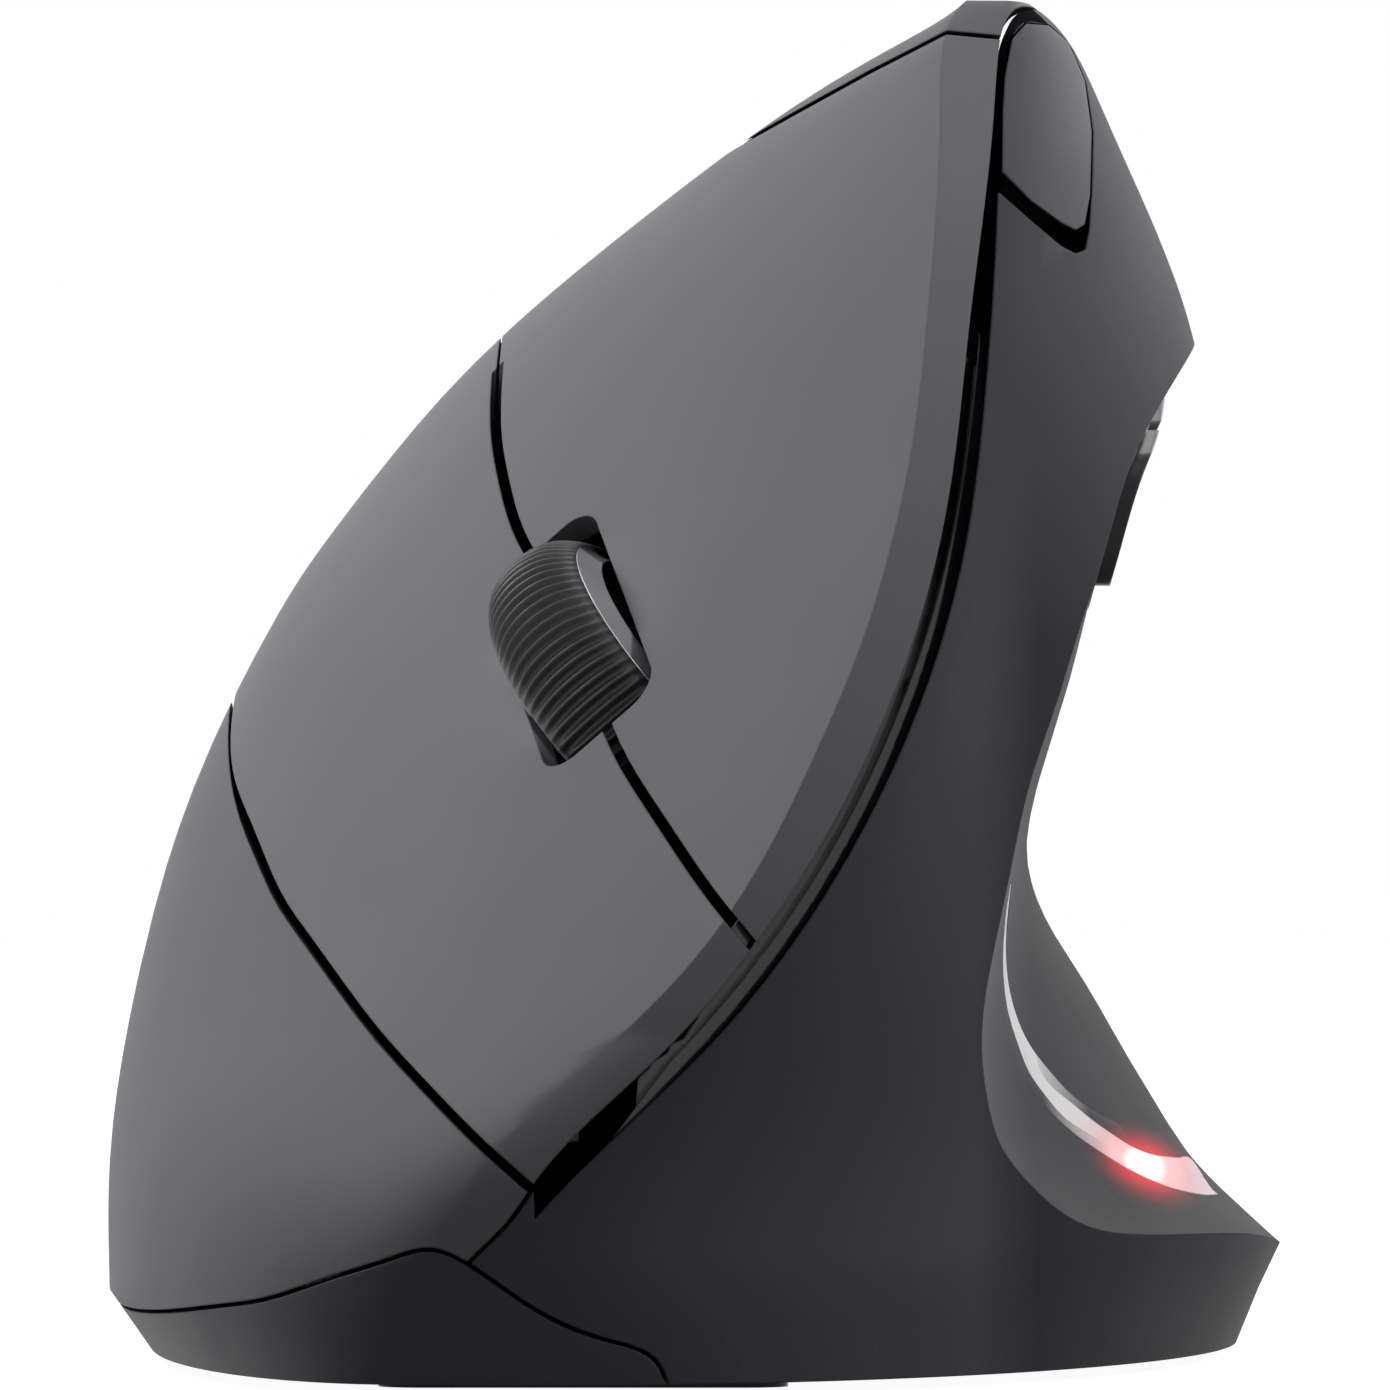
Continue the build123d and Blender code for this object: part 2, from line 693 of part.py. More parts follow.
def sensor_window():
    x, y = sensor_middle
    return level_box(x, y, 0, sensor_opening + (floor_top,))


def power_slot():
    x, y = power_middle
    size = (knob_size[0] + power_travel + 2 * power_play, knob_size[1] + 2 * power_play, floor_top)
    return level_box(x, y, 0, size)


def case_screw(x, y):
    """Pan-head screw driven up through the floor, with a cross recess"""
    head_low = foot_height + screw_sink
    head = standing_rod(x, y, head_low, head_low + screw_head[1], screw_head[0])
    shaft = standing_rod(x, y, head_low, head_low + screw_length, screw_radius)
    cross = [level_box(x, y, head_low, size) for size in cross_sizes(screw_head)]
    return one_solid(head.fuse(shaft).cut(*cross))


def cross_sizes(head):
    long = head[0] * cross_share
    thin = head[0] * cross_width_share
    deep = head[1] * cross_depth_share
    return (long, thin, deep), (thin, long, deep)


def boss(x, y, top):
    """Screw tower from the floor up to a shell"""
    low = floor_top + boss_clear
    tower = both(standing_rod(x, y, low, top, boss_radius), body(wall / 2))
    return tower.cut(standing_rod(x, y, 0, foot_height + screw_sink + screw_length + fit, screw_radius + screw_play))


def palm_bosses():
    button_room = finger_area(1.5 * button_gap) & ahead_of_rear_seam(2 * rear_seam_gap)
    return [one_solid(boss(x, y, boss_top).cut(button_room, body(0).cut(body(wall / 2)))) for x, y in palm_screw_places]


def hinge_lugs(places, length, height):
    """Ears round the hinge pin of the finger buttons"""
    middle_y = hinge_back - lug_length / 2 + length / 2
    middle_z = -hinge_depth - lug_low + height / 2
    return [both(finger_block((x, middle_y, middle_z), (lug_width, length, height)), body(wall / 2)) for x in places]


def hinge_bore(extra):
    return finger_rod((hinge_pin_middle, hinge_back, -hinge_depth), pin_radius + extra, hinge_pin_length)


def finished_palm(skin):
    shell = palm_shell(skin)
    low = 2 * lug_low
    lugs = [lug.cut(finger_room()) for lug in hinge_lugs(palm_lug_places, palm_lug_length, low)]
    return one_solid(shell.fuse(*palm_bosses(), *lugs).cut(hinge_bore(pin_bite)))


def finger_room():
    """Room kept free under the finger buttons"""
    return both(finger_area(button_gap).cut(body(wall + button_room_depth)), ahead_of_rear_seam(rear_seam_gap + fit))


def wheel_opening():
    """Rounded slot through the finger face, hollowed round the wheel below the surface"""
    outline = RectangleRounded(slot_width, slot_length, slot_corner)
    slot = extrude(finger_frame * Pos(0, wheel_back, -slot_depth) * outline, 2 * slot_depth)
    hollow = finger_rod((0, wheel_back, -wheel_sink), wheel_radius + wheel_clear, slot_width)
    under = finger_block((0, wheel_back, -(slot_depth + wall) / 2), (slot_width, 2 * slot_length, slot_depth))
    return slot, both(hollow, under)


def button_rib(side):
    """Rib inside a finger button, just above its switch"""
    low = -board_depth + switch_size[2] + key_size[2] + key_gap
    block = finger_block((side * switch_across, switch_back, low / 2), rib_size + (-low,))
    return both(block, body(wall / 2))


def finished_buttons(skin):
    """Finger buttons with wheel opening, switch rib and hinge ears"""
    right, left = finger_buttons(skin)
    done = []
    for button, side, places in ((right, -1, middle_lug_places), (left, 1, index_lug_places)):
        lugs = [both(lug, ahead_of_rear_seam(0)) for lug in hinge_lugs(places, lug_length, lug_height)]
        whole = button.fuse(button_rib(side), *lugs)
        done.append(one_solid(whole.cut(*wheel_opening(), hinge_bore(pin_play))))
    return done


def finished_thumb(skin, crescent):
    """Thumb shell with its openings, screw towers and board posts"""
    shell = thumb_side(skin).cut(*preset_opening(), crescent, bezel_zone(0))
    x, y = thumb_screw_places[0]
    rear = boss(x, y, boss_top)
    x, y = thumb_screw_places[1]
    front = boss(x, y, front_boss_top)
    rib = level_box(x, (y - half_length) / 2, floor_top + boss_clear,
                    (boss_radius, half_length + y, front_boss_top - floor_top - boss_clear))
    rib = both(rib, body(wall / 2)).cut(standing_rod(x, y, 0, front_boss_top, boss_radius / 2))
    posts = [both(side_post(place), body(wall / 2)) for place in side_post_places]
    posts += [both(preset_post(place), body(wall / 2)) for place in preset_post_places]
    return one_solid(shell.fuse(one_solid(rear), one_solid(front), rib, *posts))


def side_post(place):
    length = body_width / 2
    middle = (side_board_x + length / 2, thumb_row_y + place[0], thumb_row_z + place[1])
    return Pos(*middle) * Rot(0, 90, 0) * Cylinder(side_post_radius, length)


def preset_post(place):
    height = 2 * preset_board_depth
    return preset_frame * Pos(place[0], place[1], height / 2 - preset_board_depth) * Cylinder(preset_post_radius, height)


def thumb_switch_place(side):
    y = thumb_row_y + side * (thumb_button_length + thumb_gap) / 2
    return Location((side_board_x, y, thumb_row_z + thumb_row_slope * (y - thumb_row_y)), (0, 90, 0))


def thumb_button(side):
    """Narrow rocker in the thumb scoop, with a stem towards its switch"""
    zone = thumb_button_zones(0)[(side + 1) // 2]
    pad = both(body(-thumb_button_proud), zone).cut(body(thumb_button_depth))
    low = tact_size[2] + tact_key_height + stem_gap
    stem = thumb_switch_place(side) * Pos(0, 0, low + body_width / 2) * Box(stem_size, stem_size, body_width)
    return one_solid(one_solid(pad).fuse(both(stem, body(thumb_button_depth / 2))))


def thumb_bezel():
    ring = both(body(-bezel_proud), bezel_zone(0)).cut(body(bezel_depth), *thumb_button_zones(thumb_gap))
    return one_solid(ring)


def finished_preset():
    """Preset button with a stem towards its switch"""
    low = -preset_board_depth + tact_size[2] + tact_key_height + preset_stem_gap
    stem = preset_frame * Pos(0, 0, low / 2) * Box(stem_size, stem_size, -low)
    stem = both(stem, body(preset_thickness / 2)).cut(body(0).cut(body(wall), preset_zone(-preset_gap)))
    return one_solid(preset_button().fuse(stem))


def tact(place):
    """Small push switch standing on a board"""
    case = Pos(0, 0, tact_size[2] / 2) * Box(*tact_size)
    case = chamfer(case.edges().filter_by(Axis.Z), switch_edge)
    key = Pos(0, 0, tact_size[2] + tact_key_height / 2) * Cylinder(tact_key_radius, tact_key_height)
    return one_solid((place * case).fuse(place * key))


def finger_switch(side):
    """Micro switch under a finger button"""
    place = finger_frame * Pos(side * switch_across, switch_back, -board_depth)
    case = Pos(0, 0, switch_size[2] / 2) * Box(*switch_size)
    case = chamfer(case.edges().filter_by(Axis.Z), switch_edge)
    key = Pos(0, 0, switch_size[2] + key_size[2] / 2) * Box(*key_size)
    return one_solid((place * case).fuse(place * key))


def board_plate(low, high):
    """Plate along the finger face with a window for the wheel"""
    middle = (board_middle[0], board_middle[1], (low + high) / 2)
    plate = finger_block(middle, (board_width, board_length, high - low))
    window = finger_block((0, 0, -board_depth), board_window + (board_depth,))
    return both(plate.cut(window), body(board_inset))


def button_board():
    return board_plate(-board_depth - board_thickness, -board_depth)


def board_frame():
    """Sloping plate on four legs that carries the finger switches and the wheel"""
    top = -board_depth - board_thickness
    plate = board_plate(top - frame_thickness, top)
    above = finger_block((0, 0, top + body_height / 2), (body_length, body_length, body_height))
    legs = [standing_rod(x, y, floor_top, body_height, post_radius).cut(above) for x, y in post_places]
    return one_solid(plate.fuse(*legs))


def side_plane(x, z):
    return Plane(origin=(x, 0, z), x_dir=(0, 1, 0), z_dir=(1, 0, 0))


def tab_middle():
    key_top = -board_depth + tact_size[2] + tact_key_height
    return key_top + tab_travel + tab_size[2] / 2


def arm(x):
    """Tapered side arm with round ends, from the wheel axle to the pivot"""
    run = Vector(pivot_back - wheel_back, wheel_sink - pivot_depth)
    way = run.normalized()
    side = Vector(-way.Y, way.X)
    corners = [side * -arm_end_radius, run - side * pivot_end_radius, run + side * pivot_end_radius,
               side * arm_end_radius]
    outline = Polygon(*[(corner.X, corner.Y) for corner in corners], align=None)
    bar = extrude(finger_frame * Pos(0, wheel_back, 0) * (side_plane(x, -wheel_sink) * outline), arm_thickness)
    middle = x + arm_thickness / 2
    front_end = finger_rod((middle, wheel_back, -wheel_sink), arm_end_radius, arm_thickness)
    rear_end = finger_rod((middle, pivot_back, -pivot_depth), pivot_end_radius, arm_thickness)
    return one_solid(bar.fuse(front_end, rear_end))


def wheel_cradle():
    """Rocking carrier: two arms, a cross tube at the pivot and a tab over the wheel switch"""
    arms = [arm(arm_inside), arm(-arm_inside - arm_thickness)]
    tube = finger_rod((0, pivot_back, -pivot_depth), pivot_end_radius, 2 * arm_inside)
    tab_x = arm_inside + arm_thickness + tab_size[0] / 2
    tab = finger_block((tab_x, tab_place[1], tab_middle()), tab_size)
    carrier = arms[0].fuse(arms[1], tube, tab)
    bore = finger_rod((0, wheel_back, -wheel_sink), axle_radius + pin_play, body_width)
    pivot = finger_rod((0, pivot_back, -pivot_depth), pin_radius + pin_play, body_width)
    return one_solid(carrier.cut(bore, pivot))


def cradle_mount():
    """Fork on the board that holds the pivot pin of the carrier"""
    inside = arm_inside + arm_thickness + mount_play
    width = 2 * (inside + mount_lug)
    plate = finger_block((0, pivot_back, -board_depth + mount_base / 2), (width, mount_length, mount_base))
    height = board_depth - pivot_depth + pivot_end_radius
    lugs = [finger_block((side * (inside + mount_lug / 2), pivot_back, -board_depth + height / 2),
                         (mount_lug, mount_length, height)) for side in (-1, 1)]
    bore = finger_rod((0, pivot_back, -pivot_depth), pin_radius + pin_bite, body_width)
    return one_solid(plate.fuse(*lugs).cut(bore))


def scroll_encoder():
    """Encoder block on the carrier arm, round the wheel axle"""
    x = -arm_inside - arm_thickness - encoder_size[0] / 2
    place = finger_frame * Pos(x, wheel_back, -encoder_depth)
    case = chamfer(Box(*encoder_size).edges().filter_by(Axis.X), 2 * switch_edge)
    bore = finger_rod((0, wheel_back, -wheel_sink), axle_radius + pin_play, body_width)
    return one_solid((place * case).cut(bore))


def cradle_leaf():
    """Bent leaf spring under the carrier, drawn in its pressed state"""
    line = [(y, z) for y, z in leaf_line]
    lower = [(y, z - leaf_size[1]) for y, z in leaf_line]
    outline = Polygon(*line, *lower[::-1], align=None)
    plane = side_plane(leaf_across - leaf_size[0] / 2, -board_depth + leaf_size[1])
    return one_solid(extrude(finger_frame * (plane * outline), leaf_size[0]))


def wheel_place():
    return finger_frame * Pos(0, wheel_back, -wheel_sink) * Rot(0, 90, 0)


def ring_profile(outer, inner, half, crown):
    """Half section of a ring with a crowned rim"""
    rim = ThreePointArc((outer - crown, half), (outer, 0), (outer - crown, -half))
    rest = Polyline((outer - crown, -half), (inner, -half), (inner, half), (outer - crown, half))
    return make_face(Curve() + [rim, rest])


def wheel_tyre():
    """Crowned rubber tyre with a fine pitch of cross ribs"""
    section = Plane.XZ * ring_profile(wheel_radius, wheel_radius - tyre_wall, wheel_width / 2, wheel_crown)
    return one_solid(wheel_place() * revolve(section, Axis.Z))


def wheel_hub():
    """Bright rim with dished sides, whose bevelled edge stands out from the tyre"""
    outer = wheel_radius - tyre_wall
    half = wheel_width / 2
    web = half - rim_recess
    points = [(axle_radius, half), (hub_boss_radius, half), (hub_boss_radius + rim_recess, web),
              (outer - hub_rim_width - rim_recess, web), (outer - hub_rim_width, half + hub_rim_proud),
              (outer, half)]
    mirrored = [(x, -z) for x, z in points[::-1]]
    section = Plane.XZ * Polygon(*points, *mirrored, align=None)
    return one_solid(wheel_place() * revolve(section, Axis.Z))


def wheel_axle():
    low = -arm_inside - arm_thickness - encoder_size[0] + rim_recess
    middle = low + axle_length / 2
    return finger_rod((middle, wheel_back, -wheel_sink), axle_radius, axle_length)


def main_board():
    """Circuit board above the floor, pierced by legs and screw towers"""
    x, y = main_board_middle
    plate = both(level_box(x, y, main_board_low, main_board_size + (board_thickness,)), body(main_board_inset))
    holes = [standing_rod(x, y, 0, body_height, post_radius + hole_clear) for x, y in post_places]
    towers = palm_screw_places + thumb_screw_places
    holes += [standing_rod(x, y, 0, body_height, boss_radius + hole_clear) for x, y in towers]
    holes += [standing_rod(x, y, 0, body_height, board_screw_radius + fit) for x, y in standoff_places]
    x, y = sensor_middle
    holes.append(standing_rod(x, y, 0, body_height, lens_radius))
    return one_solid(plate.cut(*holes))


def sensor_chip():
    """Optical sensor with two rows of legs"""
    x, y = sensor_middle
    low = main_board_low + board_thickness
    chip = chamfer(level_box(x, y, low, sensor_size).edges().group_by(Axis.Z)[-1], switch_edge)
    legs = []
    for side in (-1, 1):
        for index in (-1, 0, 1):
            leg_x = x + side * (sensor_size[0] + sensor_leg[0]) / 2
            legs.append(level_box(leg_x, y + index * sensor_leg_pitch, low, sensor_leg))
    return one_solid(chip.fuse(*legs))


def sensor_lens():
    """Clear lens plate under the board, with a snout in the floor opening"""
    x, y = sensor_middle
    top = main_board_low
    plate = level_box(x, y, top - lens_size[2], lens_size)
    snout = standing_rod(x, y, lens_low, top, lens_radius)
    dome = Pos(x, y, lens_low) * Sphere(lens_radius * lens_dome_share)
    return one_solid(plate.fuse(snout).cut(dome))


def status_light():
    x, y = light_middle
    case = level_box(x, y, main_board_low + board_thickness, light_size)
    return one_solid(chamfer(case.edges().group_by(Axis.Z)[-1], switch_edge))


def cell(side):
    """Battery cell with its tip towards the back or the front"""
    x = side * cell_spacing / 2
    z = cell_low + cell_radius
    length = cell_length - cell_tip[1]
    front = cell_front + (cell_tip[1] if side < 0 else 0)
    case = Pos(x, front + length / 2, z) * Rot(90, 0, 0) * Cylinder(cell_radius, length)
    case = fillet(case.edges().filter_by(GeomType.CIRCLE), switch_edge)
    tip_y = front - cell_tip[1] / 2 if side < 0 else front + length + cell_tip[1] / 2
    tip = Pos(x, tip_y, z) * Rot(90, 0, 0) * Cylinder(cell_tip[0], cell_tip[1])
    return one_solid(case.fuse(tip))


def contact(x, width, wall_y, way):
    """Bent contact strip standing against an end wall of the battery box"""
    y = wall_y + way * contact_thickness / 2
    low = cell_low + cell_radius - contact_height / 2
    strip = level_box(x, y, low, (width, contact_thickness, contact_height))
    foot = level_box(x, y + way * contact_thickness, low, (width / 2, contact_thickness, contact_thickness))
    return one_solid(strip.fuse(foot))


def receiver():
    """Stored wireless receiver: metal plug and plastic cap"""
    length = plug_size[0] + cap_size[0]
    plug = level_box(receiver_x - cap_size[0] / 2, receiver_y, receiver_low, plug_size)
    cap = level_box(receiver_x + plug_size[0] / 2, receiver_y, receiver_low, cap_size)
    hollow = level_box(receiver_x - length / 2, receiver_y, receiver_low + box_wall / 2,
                       (plug_size[0], plug_size[1] - box_wall, plug_size[2] - box_wall))
    plug = plug.cut(hollow)
    cap = fillet(cap.edges().filter_by(Axis.X), switch_edge)
    return one_solid(plug), one_solid(cap)


def power_slider():
    """Slide with a knob in the floor slot and a flange above it"""
    x, y = power_middle
    x -= power_travel / 2
    knob = level_box(x, y, knob_low, knob_size + (floor_top + flange_play - knob_low,))
    flange = level_box(x, y, floor_top + flange_play, flange_size)
    return one_solid(knob.fuse(flange))


def power_switch():
    x, y = power_middle
    return level_box(x, y, main_board_low - power_switch_size[2], power_switch_size)


def glide_pad(index):
    x, y = pad_places[index]
    outline = RectangleRounded(pad_sizes[index][0], pad_sizes[index][1], pad_corner)
    return one_solid(extrude(Pos(x, y, 0) * outline, foot_height))


def board_screw(place):
    """Small screw that holds a board, seated with its head on z = 0 of its place"""
    head = Pos(0, 0, board_screw_head[1] / 2) * Cylinder(*board_screw_head)
    shaft = Pos(0, 0, -board_screw_length / 2) * Cylinder(board_screw_radius - screw_play, board_screw_length)
    cross = [Pos(0, 0, board_screw_head[1] - size[2] / 2) * Box(*size) for size in cross_sizes(board_screw_head)]
    return one_solid(place * head.fuse(shaft).cut(*cross))


def preset_board():
    x, y = preset_board_middle
    plate = Pos(x, y, -preset_board_depth - board_thickness / 2) * Box(*preset_board_size, board_thickness)
    return preset_frame * plate


def side_board():
    """Upright board behind the thumb buttons, notched at its upper front corner"""
    x = side_board_x - board_thickness / 2
    length, height = side_board_size
    board = Pos(x, thumb_row_y, thumb_row_z) * Box(board_thickness, length, height)
    corner = Pos(x, thumb_row_y - length / 2, thumb_row_z + height / 2)
    return one_solid(board.cut(corner * Box(board_thickness, 2 * side_board_notch[0], 2 * side_board_notch[1])))


def build_parts():
    """Every sub-part by name"""
    skin = one_solid(body(0).cut(body(wall)))
    guide, crescent = light_guide(body(0), body(wall))
    right, left = finished_buttons(skin)
    plug, cap = receiver()
    parts = {
        "base_tray": base_tray(skin),
        "palm_shell": finished_palm(skin),
        "thumb_shell": finished_thumb(skin, crescent),
        "left_button": left,
        "right_button": right,
        "front_trim": front_trim(),
        "light_guide": guide,
        "dpi_button": finished_preset(),
        "forward_button": thumb_button(-1),
        "back_button": thumb_button(1),
        "thumb_bezel": thumb_bezel(),
        "wheel_tyre": wheel_tyre(),
        "wheel_hub": wheel_hub(),
        "wheel_axle": wheel_axle(),
        "wheel_cradle": wheel_cradle(),
        "scroll_encoder": scroll_encoder(),
        "cradle_mount": cradle_mount(),
        "cradle_pin": finger_rod((0, pivot_back, -pivot_depth), pin_radius, pin_length),
        "cradle_leaf": cradle_leaf(),
        "hinge_pin": hinge_bore(0),
        "button_board": button_board(),
        "board_frame": board_frame(),
        "left_switch": finger_switch(1),
        "right_switch": finger_switch(-1),
        "wheel_switch": tact(finger_frame * Pos(tab_place[0], tab_place[1], -board_depth)),
        "side_board": side_board(),
        "forward_switch": tact(thumb_switch_place(-1)),
        "back_switch": tact(thumb_switch_place(1)),
        "dpi_board": preset_board(),
        "dpi_switch": tact(preset_frame * Pos(0, 0, -preset_board_depth)),
        "main_board": main_board(),
        "sensor_chip": sensor_chip(),
        "sensor_lens": sensor_lens(),
        "status_light": status_light(),
        "left_cell": cell(-1),
        "right_cell": cell(1),
        "battery_door": door_floor(),
        "receiver_plug": plug,
        "receiver_cap": cap,
        "power_slider": power_slider(),
        "power_switch": power_switch(),
    }
    inner_front = box_front + box_wall
    inner_rear = box_rear - box_wall
    parts["bridge_contact"] = contact(0, cell_spacing + contact_width, inner_front, 1)
    parts["left_contact"] = contact(-cell_spacing / 2, contact_width, inner_rear, -1)
    parts["right_contact"] = contact(cell_spacing / 2, contact_width, inner_rear, -1)
    for index, name in enumerate(("front_pad", "left_pad", "right_pad")):
        parts[name] = glide_pad(index)
    for number, (x, y) in enumerate(palm_screw_places + thumb_screw_places, 1):
        parts["case_screw_" + str(number)] = case_screw(x, y)
    top = main_board_low + board_thickness
    for number, (x, y) in enumerate(standoff_places, 1):
        parts["board_screw_" + str(number)] = board_screw(Location((x, y, top)))
    return parts


def main():
    os.makedirs("parts", exist_ok=True)
    for name, shape in build_parts().items():
        shape.label = name
        export_step(shape, os.path.join("parts", name + ".step"))


if __name__ == "__main__":
    main()
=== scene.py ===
import math

import bmesh
import bpy
from mathutils import Matrix, Vector


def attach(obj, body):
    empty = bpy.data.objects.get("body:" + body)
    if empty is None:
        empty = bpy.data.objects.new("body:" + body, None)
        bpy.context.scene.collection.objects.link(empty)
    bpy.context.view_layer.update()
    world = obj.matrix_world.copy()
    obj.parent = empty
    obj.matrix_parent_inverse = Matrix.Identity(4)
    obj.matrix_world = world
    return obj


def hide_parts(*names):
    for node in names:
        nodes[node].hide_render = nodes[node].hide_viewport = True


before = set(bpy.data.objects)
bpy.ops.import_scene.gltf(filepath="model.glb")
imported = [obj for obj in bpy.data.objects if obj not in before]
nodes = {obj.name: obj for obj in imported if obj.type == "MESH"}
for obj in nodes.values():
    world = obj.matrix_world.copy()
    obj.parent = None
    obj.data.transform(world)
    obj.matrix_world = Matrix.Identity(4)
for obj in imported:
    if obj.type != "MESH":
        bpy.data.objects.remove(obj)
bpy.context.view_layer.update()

MM = 0.001

# Frame of the finger face and sizes of the wheel, as in the part's source
FACE_MIDDLE = Vector((-6.9, -25.2, 40.4)) * MM
FACE_OUT = Vector((-0.65, -0.48, 0.59)).normalized()
WHEEL_WAY = Vector((0.739, -0.217, 0.638))
WHEEL_WAY = (WHEEL_WAY - FACE_OUT * WHEEL_WAY.dot(FACE_OUT)).normalized()
FACE_BACK = FACE_OUT.cross(WHEEL_WAY)
WHEEL_RADIUS = 10.6 * MM
WHEEL_WIDTH = 6.4 * MM
WHEEL_SINK = 5.9 * MM
WHEEL_BACK = -0.8 * MM
TYRE_WALL = 1.8 * MM

# Tyre: cross ribs on a crown that falls away at its shoulders
RIBS = 84
STEPS_PER_RIB = 8
PROFILE_STEPS = 16
CROWN_DROP = 1.18 * MM
SHOULDER_DROP = 0.5 * MM
SHOULDER_SHARE = 0.5
GROOVE_DEPTH = 0.42 * MM
GROOVE_SHARPNESS = 1.6
GROOVE_FADE_SHARES = (0.7, 0.99)
BORE_WIDTH_SHARE = 0.97

# Light guide in the front view, in mm: points on its outer and inner edge
GUIDE_OUTER = ((17.0, 19.0), (19.0, 14.9), (20.08, 13.68), (22.36, 11.93), (25.3, 10.25),
               (27.57, 9.42), (29.47, 9.04))
GUIDE_INNER = ((17.0, 24.0), (19.0, 16.44), (20.97, 14.48), (22.76, 13.07), (24.87, 11.78),
               (26.96, 11.2), (27.9, 11.0), (29.47, 9.04))
GUIDE_SPAN = 40
GUIDE_EDGE_SHARE = 0.0015

# Red lamp behind the guide, and how far its light reaches along and across the guide
LAMP_PLACE = Vector((24.9, -15.0, 11.1)) * MM
ALONG_GUIDE = (0.90, 0.0, -0.43)
ACROSS_GUIDE = (0.43, 0.0, 0.90)
GLOW_REACH = (6.2 * MM, 4.2 * MM)
# How far the painted red light on the shell plastic round the guide reaches
PAINTED_SPILL_REACH = (4.2 * MM, 2.1 * MM)

# Where the printed margins begin and end, from the first to the last value
UPPER_MARGIN_X = (17.8 * MM, 21.8 * MM)
LOWER_MARGIN_X = (19.0 * MM, 23.0 * MM)
LOWER_MARGIN_REAR_Y = (0.0, 1.5 * MM)
LOWER_MARGIN_FRONT_Y = (-34.0 * MM, -32.0 * MM)
# Where the painted shade in the scoop below the ridge begins and ends
PAINTED_SHADE_X = (15.0 * MM, 18.5 * MM)
PAINTED_SHADE_Z = (40.0 * MM, 60.0 * MM)
FLUSH_X = (16.6 * MM, 16.8 * MM)
FLUSH_Z = (34.0 * MM, 36.0 * MM)
FLUSH_FRONT_Y = (-31.5 * MM, -31.0 * MM)
FLUSH_REAR_Y = (6.0 * MM, 7.0 * MM)

# Colours
MILK = (0.86, 0.85, 0.87)
THUMB = (0.074, 0.072, 0.083)
FINGER = (0.185, 0.183, 0.196)
PALM = (0.158, 0.156, 0.168)
BASE = (0.045, 0.044, 0.051)
THUMB_KEY = (0.075, 0.075, 0.082)
BLACK = (0.0, 0.0, 0.0)
FLOOR_GREY = (0.30, 0.30, 0.30)
# Painted shade: share of the thumb colour left in the scoop
PAINTED_SHADE_IN_SCOOP = 0.35
# Guide colour: milky, with painted red light near the lamp behind it
MILK_WITH_PAINTED_RED = ((0.0, (0.9, 0.6, 0.6)), (0.25, (0.80, 0.50, 0.51)), (0.5, (0.80, 0.66, 0.68)), (0.75, MILK))
MILK_GLOW = ((0.0, (1.0, 0.95, 0.94)), (0.13, (1.0, 0.80, 0.78)), (0.24, (0.62, 0.22, 0.22)),
             (0.45, (0.20, 0.03, 0.035)), (0.75, (0.05, 0.01, 0.01)), (1.0, (0.02, 0.02, 0.02)))
# Painted red light on the shell plastic round the guide, fading away from the lamp
PAINTED_RED_SPILL = ((0.0, (0.75, 0.02, 0.02)), (0.35, (0.70, 0.012, 0.012)), (0.6, (0.22, 0.004, 0.005)),
             (0.8, (0.04, 0.001, 0.001)), (1.0, BLACK))

# Battery cell sleeve, along the cell from its front end to its rear end
CELL_ENDS_Y = (-1.0 * MM, 43.0 * MM)
CELL_DARK = (0.03, 0.04, 0.06)
CELL_BAND = (0.55, 0.30, 0.08)
CELL_BARE = (0.55, 0.55, 0.57)
CELL_SLEEVE = ((0.0, CELL_BARE), (0.035, CELL_BARE), (0.04, CELL_DARK), (0.70, CELL_DARK),
               (0.71, CELL_BAND), (0.955, CELL_BAND), (0.965, CELL_BARE), (1.0, CELL_BARE))

# Floor and sky
FLOOR_RADIUS = 1.6
FLOOR_SEGMENTS = 96
FLOOR_DROP = 0.02 * MM
FLOOR_GLOW_NEAR = 0.95
FLOOR_GLOW_FAR = 1.0
FLOOR_GLOW_RADII = (0.05, 0.30)
SKY_SOFT = 0.08
SKY_WHITE = 1.0

# Lamps: name, place, what it points at, width and height, watts
CENTRE = (0, 0, 0.038)
LAMPS = (
    ("key", (-0.105, -0.005, 0.125), (-0.025, -0.02, 0.045), (0.07, 0.07), 0.140),
    ("side", (0.50, -0.04, 0.38), CENTRE, (0.30, 0.30), 2.3),
    ("top", (-0.05, 0.20, 0.80), CENTRE, (0.5, 0.4), 0.5),
    ("back", (0.3, 0.9, 0.4), CENTRE, (0.6, 0.4), 0.8),
)

# Camera as the photo's perspective asks
CAMERA_AWAY = 0.960
CAMERA_HEIGHT = 0.0371
CAMERA_CLIP = (0.05, 20.0)
SENSOR_WIDTH = 36.0
PHOTO_WIDTH_PIXELS = 1390
FOCAL_LENGTH_PIXELS = 17050

# Smooth shading
SMOOTH_ANGLE = math.radians(30)
WELD_DISTANCE = 0.002 * MM


# Shader helpers

def new_material(name):
    material = bpy.data.materials.new(name)
    material.use_nodes = True
    tree = material.node_tree
    tree.nodes.clear()
    output = tree.nodes.new("ShaderNodeOutputMaterial")
    shader = tree.nodes.new("ShaderNodeBsdfPrincipled")
    tree.links.new(shader.outputs["BSDF"], output.inputs["Surface"])
    return material, tree, shader


def surface_place(tree):
    """Place on the surface in the object's own frame, in metres"""
    return tree.nodes.new("ShaderNodeTexCoord").outputs["Object"]


